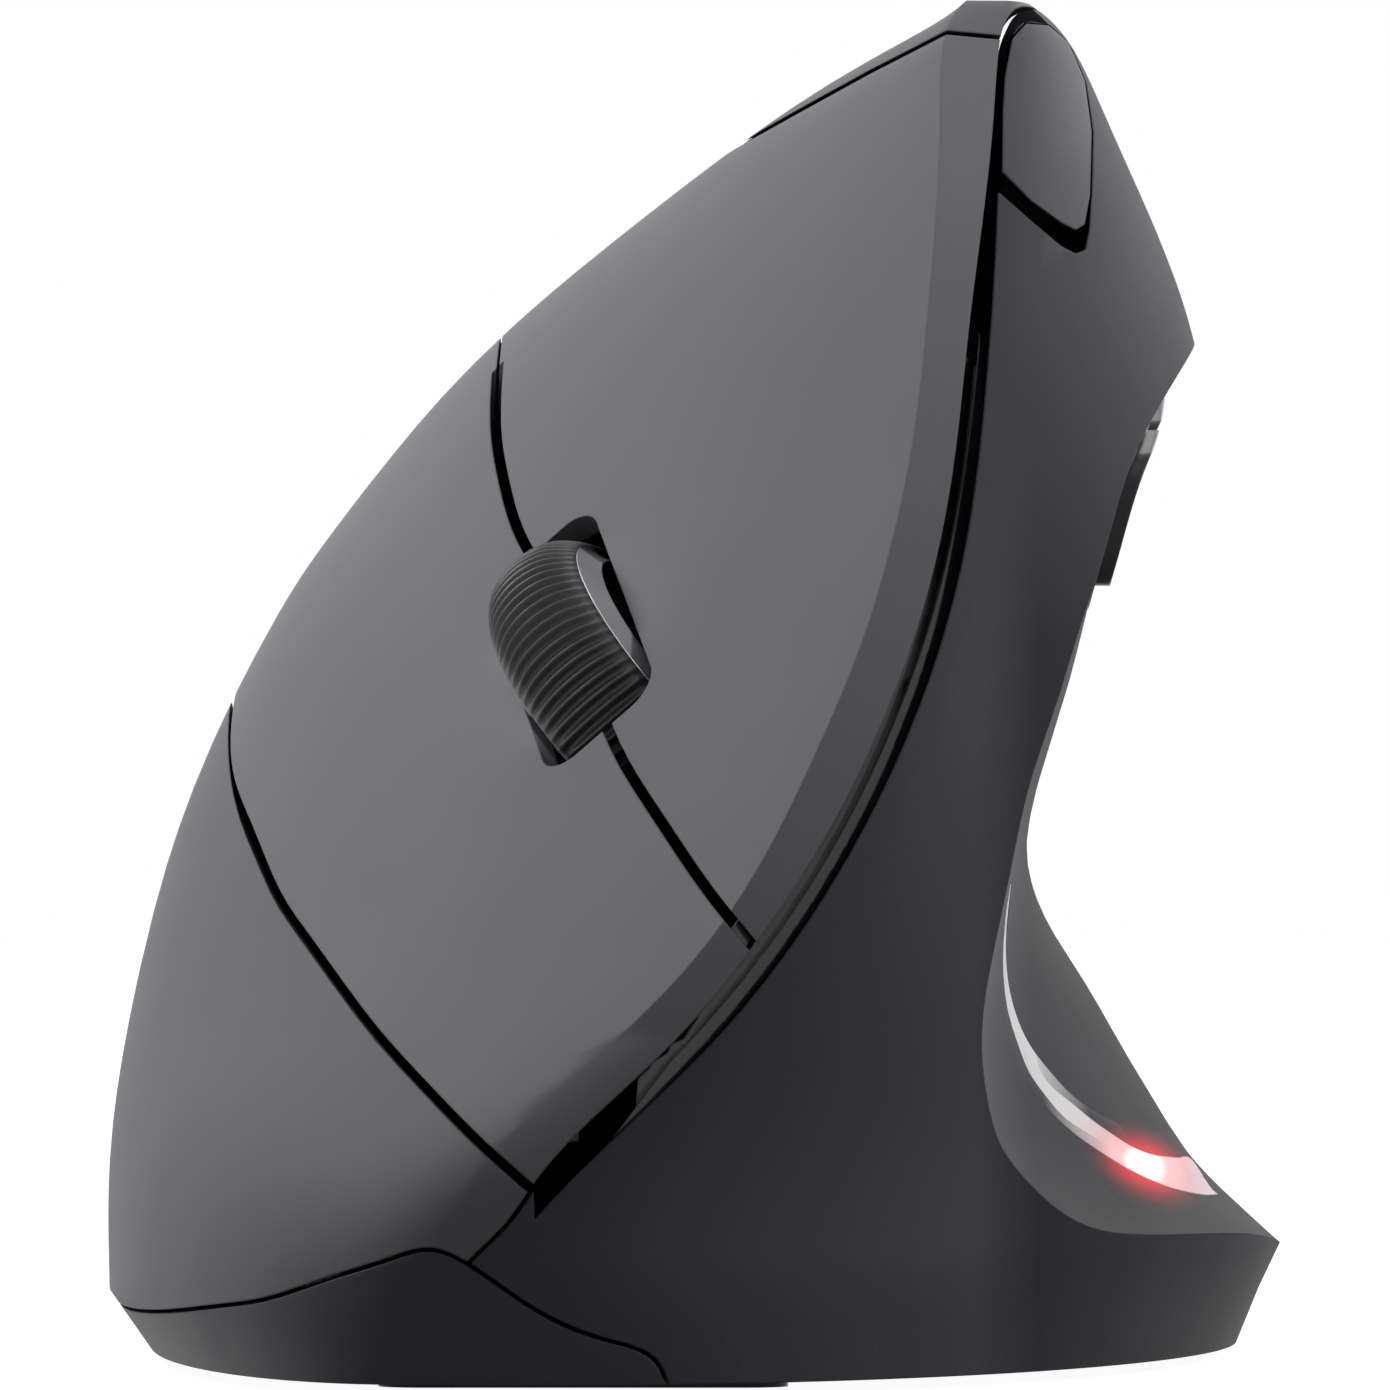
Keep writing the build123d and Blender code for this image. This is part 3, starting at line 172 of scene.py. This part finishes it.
def place_parts(tree):
    """X, Y and Z of the place on the surface"""
    apart = tree.nodes.new("ShaderNodeSeparateXYZ")
    tree.links.new(surface_place(tree), apart.inputs["Vector"])
    return apart.outputs["X"], apart.outputs["Y"], apart.outputs["Z"]


def place_from(tree, point):
    """Vector from a point to the place on the surface"""
    away = tree.nodes.new("ShaderNodeVectorMath")
    away.operation = "SUBTRACT"
    away.inputs[1].default_value = point
    tree.links.new(surface_place(tree), away.inputs[0])
    return away.outputs["Vector"]


def noise(tree, scale, detail=2.0, stretch=(1, 1, 1)):
    """Noise over the place on the surface, with its scale in cells to the metre"""
    mapping = tree.nodes.new("ShaderNodeMapping")
    mapping.inputs["Scale"].default_value = stretch
    texture = tree.nodes.new("ShaderNodeTexNoise")
    texture.inputs["Scale"].default_value = scale
    texture.inputs["Detail"].default_value = detail
    tree.links.new(surface_place(tree), mapping.inputs["Vector"])
    tree.links.new(mapping.outputs["Vector"], texture.inputs["Vector"])
    return texture.outputs["Fac"]


def spread(tree, value, low, high, start=0.3, end=0.7):
    """Maps a value from start..end to low..high"""
    node = tree.nodes.new("ShaderNodeMapRange")
    node.inputs["From Min"].default_value = start
    node.inputs["From Max"].default_value = end
    node.inputs["To Min"].default_value = low
    node.inputs["To Max"].default_value = high
    tree.links.new(value, node.inputs["Value"])
    return node.outputs["Result"]


def rising(tree, value, limits):
    """0 before the first limit and 1 past the second"""
    return spread(tree, value, 0, 1, *limits)


def falling(tree, value, limits):
    """1 before the first limit and 0 past the second"""
    return spread(tree, value, 1, 0, *limits)


def put(tree, value, socket):
    """Sets a socket to a number or a colour, or links it to another socket"""
    if isinstance(value, (int, float)):
        socket.default_value = value
    elif isinstance(value, tuple):
        socket.default_value = (*value, 1)
    else:
        tree.links.new(value, socket)


def mixed(tree, factor, first, second):
    node = tree.nodes.new("ShaderNodeMix")
    node.data_type = "RGBA"
    tree.links.new(factor, node.inputs["Factor"])
    put(tree, first, node.inputs["A"])
    put(tree, second, node.inputs["B"])
    return node.outputs["Result"]


def calculated(tree, operation, *values):
    node = tree.nodes.new("ShaderNodeMath")
    node.operation = operation
    for socket, value in zip(node.inputs, values):
        put(tree, value, socket)
    return node.outputs["Value"]


def product(tree, first, *others):
    for other in others:
        first = calculated(tree, "MULTIPLY", first, other)
    return first


def ramp(tree, value, stops):
    node = tree.nodes.new("ShaderNodeValToRGB")
    elements = node.color_ramp.elements
    for element, (position, colour) in ((elements[0], stops[0]), (elements[1], stops[-1])):
        element.position = position
        element.color = (*colour, 1)
    for position, colour in stops[1:-1]:
        elements.new(position).color = (*colour, 1)
    tree.links.new(value, node.inputs["Fac"])
    return node.outputs["Color"]


def bumped(tree, shader, height, depth, edge=0):
    """Grain on top of a small rounded edge"""
    bump = tree.nodes.new("ShaderNodeBump")
    bump.inputs["Distance"].default_value = depth
    bump.inputs["Strength"].default_value = 1.0
    tree.links.new(height, bump.inputs["Height"])
    if edge:
        round_edge = tree.nodes.new("ShaderNodeBevel")
        round_edge.samples = 4
        round_edge.inputs["Radius"].default_value = edge
        tree.links.new(round_edge.outputs["Normal"], bump.inputs["Normal"])
    tree.links.new(bump.outputs["Normal"], shader.inputs["Normal"])
    return bump


def shade(colour, factor):
    return tuple(min(1.0, part * factor) for part in colour)


# Materials

def moulded(tree, shader, rough, grain, depth, edge, specular):
    """Fine spark-eroded grain with faint rubbed streaks"""
    rub = noise(tree, 160, 4, (1, 0.35, 1))
    tree.links.new(spread(tree, rub, rough - 0.02, rough + 0.02), shader.inputs["Roughness"])
    shader.inputs["Specular IOR Level"].default_value = specular
    return bumped(tree, shader, noise(tree, grain, 2), depth, edge)


def plastic(name, colour, rough=0.42, grain=2600, depth=0.012 * MM, edge=0.18 * MM, mottle=0.025,
            coat=0.0, specular=0.12):
    """Moulded plastic with a soft drift of its colour"""
    material, tree, shader = new_material(name)
    drift = spread(tree, noise(tree, 45, 3), 0, 1)
    colour_out = mixed(tree, drift, shade(colour, 1 - mottle), shade(colour, 1 + mottle))
    tree.links.new(colour_out, shader.inputs["Base Color"])
    shader.inputs["Coat Weight"].default_value = coat
    shader.inputs["Coat Roughness"].default_value = 0.12
    moulded(tree, shader, rough, grain, depth, edge, specular)
    return material


def metal(name, colour, rough, grain=900, stretch=(1, 12, 1), depth=0.004 * MM):
    """Plated or drawn metal with fine directional lines"""
    material, tree, shader = new_material(name)
    shader.inputs["Metallic"].default_value = 1.0
    lines = noise(tree, grain, 3, stretch)
    colour_out = mixed(tree, spread(tree, lines, 0, 1), shade(colour, 0.9), colour)
    tree.links.new(colour_out, shader.inputs["Base Color"])
    rub = noise(tree, 120, 3)
    tree.links.new(spread(tree, rub, rough * 0.7, rough * 1.3), shader.inputs["Roughness"])
    bumped(tree, shader, lines, depth, 0.08 * MM)
    return material


def rubber(name, colour):
    """Matt rubber with a dusty bloom"""
    material, tree, shader = new_material(name)
    dust = noise(tree, 700, 5)
    colour_out = mixed(tree, rising(tree, dust, (0.45, 0.75)), colour, shade(colour, 1.7))
    tree.links.new(colour_out, shader.inputs["Base Color"])
    tree.links.new(spread(tree, dust, 0.46, 0.62), shader.inputs["Roughness"])
    shader.inputs["Sheen Weight"].default_value = 0.15
    shader.inputs["Sheen Roughness"].default_value = 0.5
    bumped(tree, shader, noise(tree, 5200, 2), 0.008 * MM)
    return material


def circuit(name, colour):
    """Green solder mask with copper tracks that show through as raised lines"""
    material, tree, shader = new_material(name)
    tracks = tree.nodes.new("ShaderNodeTexBrick")
    tracks.inputs["Scale"].default_value = 260
    tracks.inputs["Mortar Size"].default_value = 0.035
    tracks.inputs["Color1"].default_value = (*colour, 1)
    tracks.inputs["Color2"].default_value = (*shade(colour, 0.8), 1)
    tracks.inputs["Mortar"].default_value = (*shade(colour, 2.2), 1)
    tree.links.new(surface_place(tree), tracks.inputs["Vector"])
    tree.links.new(tracks.outputs["Color"], shader.inputs["Base Color"])
    tree.links.new(spread(tree, noise(tree, 300, 3), 0.25, 0.4), shader.inputs["Roughness"])
    bumped(tree, shader, tracks.outputs["Fac"], 0.03 * MM, 0.1 * MM)
    return material


def clear(name, colour, rough=0.05):
    """Moulded clear plastic with slight flow waves"""
    material, tree, shader = new_material(name)
    flow = noise(tree, 240, 3)
    colour_out = mixed(tree, spread(tree, flow, 0, 1), shade(colour, 0.92), colour)
    tree.links.new(colour_out, shader.inputs["Base Color"])
    tree.links.new(spread(tree, flow, rough, rough + 0.06), shader.inputs["Roughness"])
    shader.inputs["Transmission Weight"].default_value = 0.9
    shader.inputs["IOR"].default_value = 1.49
    bumped(tree, shader, noise(tree, 400, 2), 0.01 * MM)
    return material


def cell_wrap(name):
    """Foil sleeve of a battery cell: dark with a plain band and bare metal ends"""
    material, tree, shader = new_material(name)
    along = rising(tree, place_parts(tree)[1], CELL_ENDS_Y)
    tree.links.new(ramp(tree, along, CELL_SLEEVE), shader.inputs["Base Color"])
    tree.links.new(spread(tree, noise(tree, 200, 4), 0.22, 0.36), shader.inputs["Roughness"])
    shader.inputs["Metallic"].default_value = 0.55
    bumped(tree, shader, noise(tree, 600, 3), 0.01 * MM, 0.2 * MM)
    return material


def edge_height(tree, across, points):
    """Height of an edge of the guide over the front view's x, both as shares of the guide's span"""
    node = tree.nodes.new("ShaderNodeFloatCurve")
    curve = node.mapping.curves[0]
    curve.points[0].location = (0.0, points[0][1] / GUIDE_SPAN)
    curve.points[1].location = (1.0, points[-1][1] / GUIDE_SPAN)
    for x, z in points:
        curve.points.new(x / GUIDE_SPAN, z / GUIDE_SPAN).handle_type = "AUTO"
    node.mapping.update()
    tree.links.new(across, node.inputs["Value"])
    return node.outputs["Value"]


def guide_mask(tree):
    """1 between the two edges that the light guide has in the front view"""
    x, _, z = place_parts(tree)
    across = calculated(tree, "DIVIDE", x, GUIDE_SPAN * MM)
    height = calculated(tree, "DIVIDE", z, GUIDE_SPAN * MM)
    over = calculated(tree, "SUBTRACT", height, edge_height(tree, across, GUIDE_OUTER))
    under = calculated(tree, "SUBTRACT", edge_height(tree, across, GUIDE_INNER), height)
    return rising(tree, calculated(tree, "MINIMUM", over, under), (0.0, GUIDE_EDGE_SHARE))


def lamp_field(tree, reach):
    """Share of the way from the lamp behind the guide to an oval round it, in the front view"""
    away = place_from(tree, LAMP_PLACE)
    squares = []
    for direction, radius in zip((ALONG_GUIDE, ACROSS_GUIDE), reach):
        dot = tree.nodes.new("ShaderNodeVectorMath")
        dot.operation = "DOT_PRODUCT"
        dot.inputs[1].default_value = direction
        tree.links.new(away, dot.inputs[0])
        share = calculated(tree, "DIVIDE", dot.outputs["Value"], radius)
        squares.append(calculated(tree, "MULTIPLY", share, share))
    return calculated(tree, "SQRT", calculated(tree, "ADD", *squares))


def lit_colours(tree, shown):
    """Colour and glow where the milky plastic shows, and of the shell plastic round it, with painted shade
    in the scoop and painted red light round the guide
    """
    x, _, z = place_parts(tree)
    # Painted shade: the thumb plastic darker in the scoop, below the ridge
    painted_shade_mask = product(tree, rising(tree, x, PAINTED_SHADE_X), falling(tree, z, PAINTED_SHADE_Z))
    shell = mixed(tree, painted_shade_mask, THUMB, shade(THUMB, PAINTED_SHADE_IN_SCOOP))
    milk_field = lamp_field(tree, GLOW_REACH)
    painted_spill_field = lamp_field(tree, PAINTED_SPILL_REACH)
    # Guide colour reddened by painted red light near the lamp
    colour = mixed(tree, shown, shell, ramp(tree, milk_field, MILK_WITH_PAINTED_RED))
    # Glow of the guide where it shows, and painted red light on the shell plastic round it
    glow = mixed(tree, shown, ramp(tree, painted_spill_field, PAINTED_RED_SPILL), ramp(tree, milk_field, MILK_GLOW))
    return colour, glow


def guide_plastic(name):
    """Milky light guide with painted red light near the lamp, whose upper margin is hidden under a
    shell-coloured print that also gets painted red light and painted shade
    """
    material, tree, shader = new_material(name)
    thin_end = falling(tree, place_parts(tree)[0], UPPER_MARGIN_X)
    shown = calculated(tree, "MAXIMUM", guide_mask(tree), thin_end)
    colour, glow = lit_colours(tree, shown)
    tree.links.new(colour, shader.inputs["Base Color"])
    tree.links.new(glow, shader.inputs["Emission Color"])
    shader.inputs["Emission Strength"].default_value = 1.0
    shader.inputs["Specular IOR Level"].default_value = 0.04
    tree.links.new(spread(tree, noise(tree, 300, 3), 0.53, 0.57), shader.inputs["Roughness"])
    bumped(tree, shader, noise(tree, 2600, 2), 0.012 * MM)
    return material


def thumb_plastic(name):
    """Shell plastic of the thumb side, with the guide's lower margin, painted red light round the guide and
    painted shade in the scoop
    """
    material, tree, shader = new_material(name)
    x, y, z = place_parts(tree)
    margin = product(tree, rising(tree, x, LOWER_MARGIN_X), falling(tree, y, LOWER_MARGIN_REAR_Y),
                     rising(tree, y, LOWER_MARGIN_FRONT_Y))
    colour, glow = lit_colours(tree, product(tree, guide_mask(tree), margin))
    tree.links.new(colour, shader.inputs["Base Color"])
    # Glow only in the lower margin: the guide's glow where it shows, painted red light on the shell plastic
    # beside it
    tree.links.new(mixed(tree, margin, BLACK, glow), shader.inputs["Emission Color"])
    shader.inputs["Emission Strength"].default_value = 1.0
    bump = moulded(tree, shader, 0.55, 2600, 0.012 * MM, 0.18 * MM, 0.04)
    flush = product(tree, rising(tree, x, FLUSH_X), falling(tree, z, FLUSH_Z),
                    rising(tree, y, FLUSH_FRONT_Y), falling(tree, y, FLUSH_REAR_Y))
    leave_sharp(tree, bump, flush)
    return material


def leave_sharp(tree, bump, flush):
    """Leaves out the rounded edge where the light guide lies flush in the scoop"""
    plain = tree.nodes.new("ShaderNodeNewGeometry")
    blend = tree.nodes.new("ShaderNodeMix")
    blend.data_type = "VECTOR"
    rounded_input, plain_input = blend.inputs[4], blend.inputs[5]
    tree.links.new(flush, blend.inputs["Factor"])
    tree.links.new(bump.inputs["Normal"].links[0].from_socket, rounded_input)
    tree.links.new(plain.outputs["Normal"], plain_input)
    tree.links.new(blend.outputs[1], bump.inputs["Normal"])


made = {
    "thumb": thumb_plastic("thumb_plastic"),
    "preset": plastic("preset_plastic", THUMB, rough=0.50),
    "base": plastic("base_plastic", BASE, rough=0.52),
    "finger": plastic("finger_plastic", FINGER, rough=0.50, grain=3000, depth=0.008 * MM, specular=0.05),
    "palm": plastic("palm_plastic", PALM, rough=0.50, grain=3000, depth=0.008 * MM, specular=0.05),
    "gloss": plastic("gloss_black", (0.006, 0.006, 0.007), rough=0.10, grain=900, depth=0.003 * MM,
                     edge=0.12 * MM, mottle=0.05, coat=0.3, specular=0.4),
    "thumb_key": plastic("thumb_key_plastic", THUMB_KEY, rough=0.30, grain=3000, depth=0.006 * MM),
    "guide": guide_plastic("guide_plastic"),
    "tyre": rubber("tyre_rubber", (0.014, 0.014, 0.016)),
    "chrome": metal("hub_chrome", (0.86, 0.86, 0.88), 0.10, grain=500, stretch=(1, 1, 1), depth=0.002 * MM),
    "steel": metal("plain_steel", (0.55, 0.55, 0.56), 0.28),
    "screw": metal("dark_screw", (0.16, 0.16, 0.17), 0.38),
    "contact": metal("nickel_strip", (0.66, 0.64, 0.60), 0.24),
    "inner": plastic("inner_plastic", (0.030, 0.030, 0.033), rough=0.55, grain=1800, depth=0.02 * MM),
    "switch": plastic("switch_case", (0.018, 0.018, 0.020), rough=0.4, grain=2400, depth=0.01 * MM),
    "chip": plastic("chip_case", (0.014, 0.014, 0.015), rough=0.5, grain=4200, depth=0.01 * MM,
                    edge=0.08 * MM),
    "board": circuit("board_mask", (0.012, 0.12, 0.05)),
    "clear": clear("lens_clear", (0.9, 0.94, 0.98)),
    "lamp": clear("lamp_clear", (0.9, 0.2, 0.15), rough=0.2),
    "cell": cell_wrap("cell_wrap"),
    "pad": plastic("pad_slick", (0.02, 0.02, 0.022), rough=0.25, grain=1500, depth=0.004 * MM),
    "slider": plastic("slider_plastic", (0.42, 0.42, 0.44), rough=0.4),
}

# Nodes by finish; the screws are all the others
finished = {
    "base": ("base_tray", "battery_door"),
    "palm": ("palm_shell",),
    "thumb": ("thumb_shell",),
    "finger": ("left_button", "right_button"),
    "gloss": ("front_trim", "thumb_bezel"),
    "guide": ("light_guide",),
    "preset": ("dpi_button",),
    "thumb_key": ("forward_button", "back_button"),
    "tyre": ("wheel_tyre",),
    "chrome": ("wheel_hub",),
    "steel": ("wheel_axle", "cradle_pin", "cradle_leaf", "hinge_pin"),
    "inner": ("wheel_cradle", "cradle_mount", "board_frame"),
    "switch": ("scroll_encoder", "left_switch", "right_switch", "wheel_switch", "forward_switch",
               "back_switch", "dpi_switch", "receiver_cap"),
    "board": ("button_board", "side_board", "dpi_board", "main_board"),
    "chip": ("sensor_chip",),
    "clear": ("sensor_lens",),
    "lamp": ("status_light",),
    "cell": ("left_cell", "right_cell"),
    "contact": ("receiver_plug", "power_switch", "bridge_contact", "left_contact", "right_contact"),
    "slider": ("power_slider",),
    "pad": ("front_pad", "left_pad", "right_pad"),
}
finish_of = {node: finish for finish, names in finished.items() for node in names}


# Smooth shading of the curved solids

def make_smooth_group():
    """Geometry nodes that shade smooth, sharp at the edges that turn more than the smooth angle"""
    group = bpy.data.node_groups.new("smooth_by_angle", "GeometryNodeTree")
    group.interface.new_socket("Geometry", in_out="INPUT", socket_type="NodeSocketGeometry")
    group.interface.new_socket("Geometry", in_out="OUTPUT", socket_type="NodeSocketGeometry")
    start = group.nodes.new("NodeGroupInput")
    end = group.nodes.new("NodeGroupOutput")
    edge_angle = group.nodes.new("GeometryNodeInputMeshEdgeAngle")
    compare = group.nodes.new("FunctionNodeCompare")
    compare.operation = "LESS_THAN"
    compare.inputs["B"].default_value = SMOOTH_ANGLE
    edges = group.nodes.new("GeometryNodeSetShadeSmooth")
    edges.domain = "EDGE"
    faces = group.nodes.new("GeometryNodeSetShadeSmooth")
    faces.domain = "FACE"
    group.links.new(edge_angle.outputs["Unsigned Angle"], compare.inputs["A"])
    group.links.new(start.outputs[0], faces.inputs["Geometry"])
    group.links.new(faces.outputs["Geometry"], edges.inputs["Geometry"])
    group.links.new(compare.outputs["Result"], edges.inputs["Shade Smooth"])
    group.links.new(edges.outputs["Geometry"], end.inputs[0])
    return group


def smooth(piece, group):
    weld = piece.modifiers.new("weld", "WELD")
    weld.merge_threshold = WELD_DISTANCE
    for face in piece.data.polygons:
        face.use_smooth = True
    piece.modifiers.new("smooth", "NODES").node_group = group


smooth_group = make_smooth_group()
for name, piece in nodes.items():
    piece.data.materials.clear()
    piece.data.materials.append(made[finish_of.get(name, "screw")])
    smooth(piece, smooth_group)


# Scroll wheel tyre: a crowned ring with fine cross ribs that wrap round its shoulders

def crown_radius(share):
    """Radius of the crown at a share of the half width"""
    shoulder = max(0.0, abs(share) - SHOULDER_SHARE) / SHOULDER_SHARE
    return WHEEL_RADIUS - CROWN_DROP * share ** 2 - SHOULDER_DROP * shoulder ** 2


def groove_depth(share, angle):
    """Depth of the ribbing at a share of the half width, gone at the tyre's walls"""
    fade_start, fade_end = GROOVE_FADE_SHARES
    fade = 1.0 if abs(share) < fade_start else max(0.0, (fade_end - abs(share)) / (fade_end - fade_start))
    wave = 0.5 - 0.5 * math.cos(RIBS * angle)
    return GROOVE_DEPTH * (1 - wave ** GROOVE_SHARPNESS) * fade


def tyre_ring(build, height, radius_at):
    """One ring of points round the wheel, with its radius as a function of the angle"""
    steps = RIBS * STEPS_PER_RIB
    ring = []
    for step in range(steps):
        angle = 2 * math.pi * step / steps
        radius = radius_at(angle)
        ring.append(build.verts.new((radius * math.cos(angle), radius * math.sin(angle), height)))
    return ring


def wheel_matrix():
    middle = FACE_MIDDLE - FACE_OUT * WHEEL_SINK + FACE_BACK * WHEEL_BACK
    turn = Matrix((FACE_BACK, FACE_OUT, WHEEL_WAY)).transposed().to_4x4()
    return Matrix.Translation(middle) @ turn


def make_tyre():
    mesh = bpy.data.meshes.new("scroll_tyre")
    build = bmesh.new()
    half = WHEEL_WIDTH / 2
    shares = [-1 + 2 * index / PROFILE_STEPS for index in range(PROFILE_STEPS + 1)]
    rings = [tyre_ring(build, share * half, lambda angle: crown_radius(share) - groove_depth(share, angle))
             for share in shares]
    for side in (BORE_WIDTH_SHARE, -BORE_WIDTH_SHARE):
        rings.append(tyre_ring(build, side * half, lambda angle: WHEEL_RADIUS - TYRE_WALL))
    for first, second in zip(rings, rings[1:] + rings[:1]):
        for step in range(len(first)):
            after = (step + 1) % len(first)
            build.faces.new((first[step], first[after], second[after], second[step]))
    bmesh.ops.recalc_face_normals(build, faces=build.faces[:])
    build.to_mesh(mesh)
    build.free()
    for face in mesh.polygons:
        face.use_smooth = True
    tyre = bpy.data.objects.new("scroll_tyre", mesh)
    bpy.context.scene.collection.objects.link(tyre)
    tyre.matrix_world = wheel_matrix()
    mesh.materials.append(made["tyre"])
    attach(tyre, "wheel")
    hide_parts("wheel_tyre")


make_tyre()


# Floor, light and camera

def seen_directly(tree):
    """1 for rays from the camera, reflections and clear plastic, 0 for the light that falls on things"""
    path = tree.nodes.new("ShaderNodeLightPath").outputs
    seen = calculated(tree, "MAXIMUM", path["Is Camera Ray"], path["Is Glossy Ray"])
    return calculated(tree, "MAXIMUM", seen, path["Is Transmission Ray"])


def either(tree, factor, first, second, output):
    """Sends the first shader to the output, or the second where the factor is 1"""
    mix = tree.nodes.new("ShaderNodeMixShader")
    tree.links.new(factor, mix.inputs["Fac"])
    tree.links.new(first, mix.inputs[1])
    tree.links.new(second, mix.inputs[2])
    tree.links.new(mix.outputs["Shader"], output.inputs["Surface"])


def stage_material():
    """Mid-grey floor that the camera and reflections see as white, with the object's shadow kept"""
    material, tree, shader = new_material("floor_white")
    shader.inputs["Base Color"].default_value = (*FLOOR_GREY, 1)
    shader.inputs["Roughness"].default_value = 0.9
    shader.inputs["Specular IOR Level"].default_value = 0.1
    output = tree.nodes["Material Output"]
    far = tree.nodes.new("ShaderNodeVectorMath")
    far.operation = "LENGTH"
    tree.links.new(surface_place(tree), far.inputs[0])
    glow = tree.nodes.new("ShaderNodeEmission")
    strength = spread(tree, far.outputs["Value"], FLOOR_GLOW_NEAR, FLOOR_GLOW_FAR, *FLOOR_GLOW_RADII)
    tree.links.new(strength, glow.inputs["Strength"])
    add = tree.nodes.new("ShaderNodeAddShader")
    tree.links.new(shader.outputs["BSDF"], add.inputs[0])
    tree.links.new(glow.outputs["Emission"], add.inputs[1])
    either(tree, seen_directly(tree), shader.outputs["BSDF"], add.outputs["Shader"], output)
    return material


def make_floor():
    mesh = bpy.data.meshes.new("floor")
    build = bmesh.new()
    bmesh.ops.create_circle(build, cap_ends=True, radius=FLOOR_RADIUS, segments=FLOOR_SEGMENTS)
    build.to_mesh(mesh)
    build.free()
    floor = bpy.data.objects.new("floor", mesh)
    floor.location = (0, 0, -FLOOR_DROP)
    bpy.context.scene.collection.objects.link(floor)
    mesh.materials.append(stage_material())


def area_light(name, place, target, size, watts):
    light = bpy.data.lights.new(name, "AREA")
    light.shape = "RECTANGLE"
    light.size, light.size_y = size
    light.energy = watts
    lamp = bpy.data.objects.new(name, light)
    lamp.location = place
    lamp.rotation_euler = (Vector(target) - Vector(place)).to_track_quat("-Z", "Y").to_euler()
    bpy.context.scene.collection.objects.link(lamp)


def plain_sky(tree, strength):
    background = tree.nodes.new("ShaderNodeBackground")
    background.inputs["Color"].default_value = (1, 1, 1, 1)
    background.inputs["Strength"].default_value = strength
    return background.outputs["Background"]


def make_world():
    """Dim light on things, and white where the camera and reflections look past them"""
    world = bpy.data.worlds.new("studio")
    bpy.context.scene.world = world
    world.use_nodes = True
    tree = world.node_tree
    tree.nodes.clear()
    output = tree.nodes.new("ShaderNodeOutputWorld")
    either(tree, seen_directly(tree), plain_sky(tree, SKY_SOFT), plain_sky(tree, SKY_WHITE), output)


def make_camera():
    data = bpy.data.cameras.new("camera")
    data.sensor_width = SENSOR_WIDTH
    data.lens = FOCAL_LENGTH_PIXELS / PHOTO_WIDTH_PIXELS * SENSOR_WIDTH
    data.clip_start, data.clip_end = CAMERA_CLIP
    camera = bpy.data.objects.new("camera", data)
    camera.location = (0.0, -CAMERA_AWAY, CAMERA_HEIGHT)
    camera.rotation_euler = (math.radians(90), 0, 0)
    bpy.context.scene.collection.objects.link(camera)
    bpy.context.scene.camera = camera


make_floor()
for lamp_values in LAMPS:
    area_light(*lamp_values)
make_world()
make_camera()
bpy.context.scene.view_settings.view_transform = "Standard"
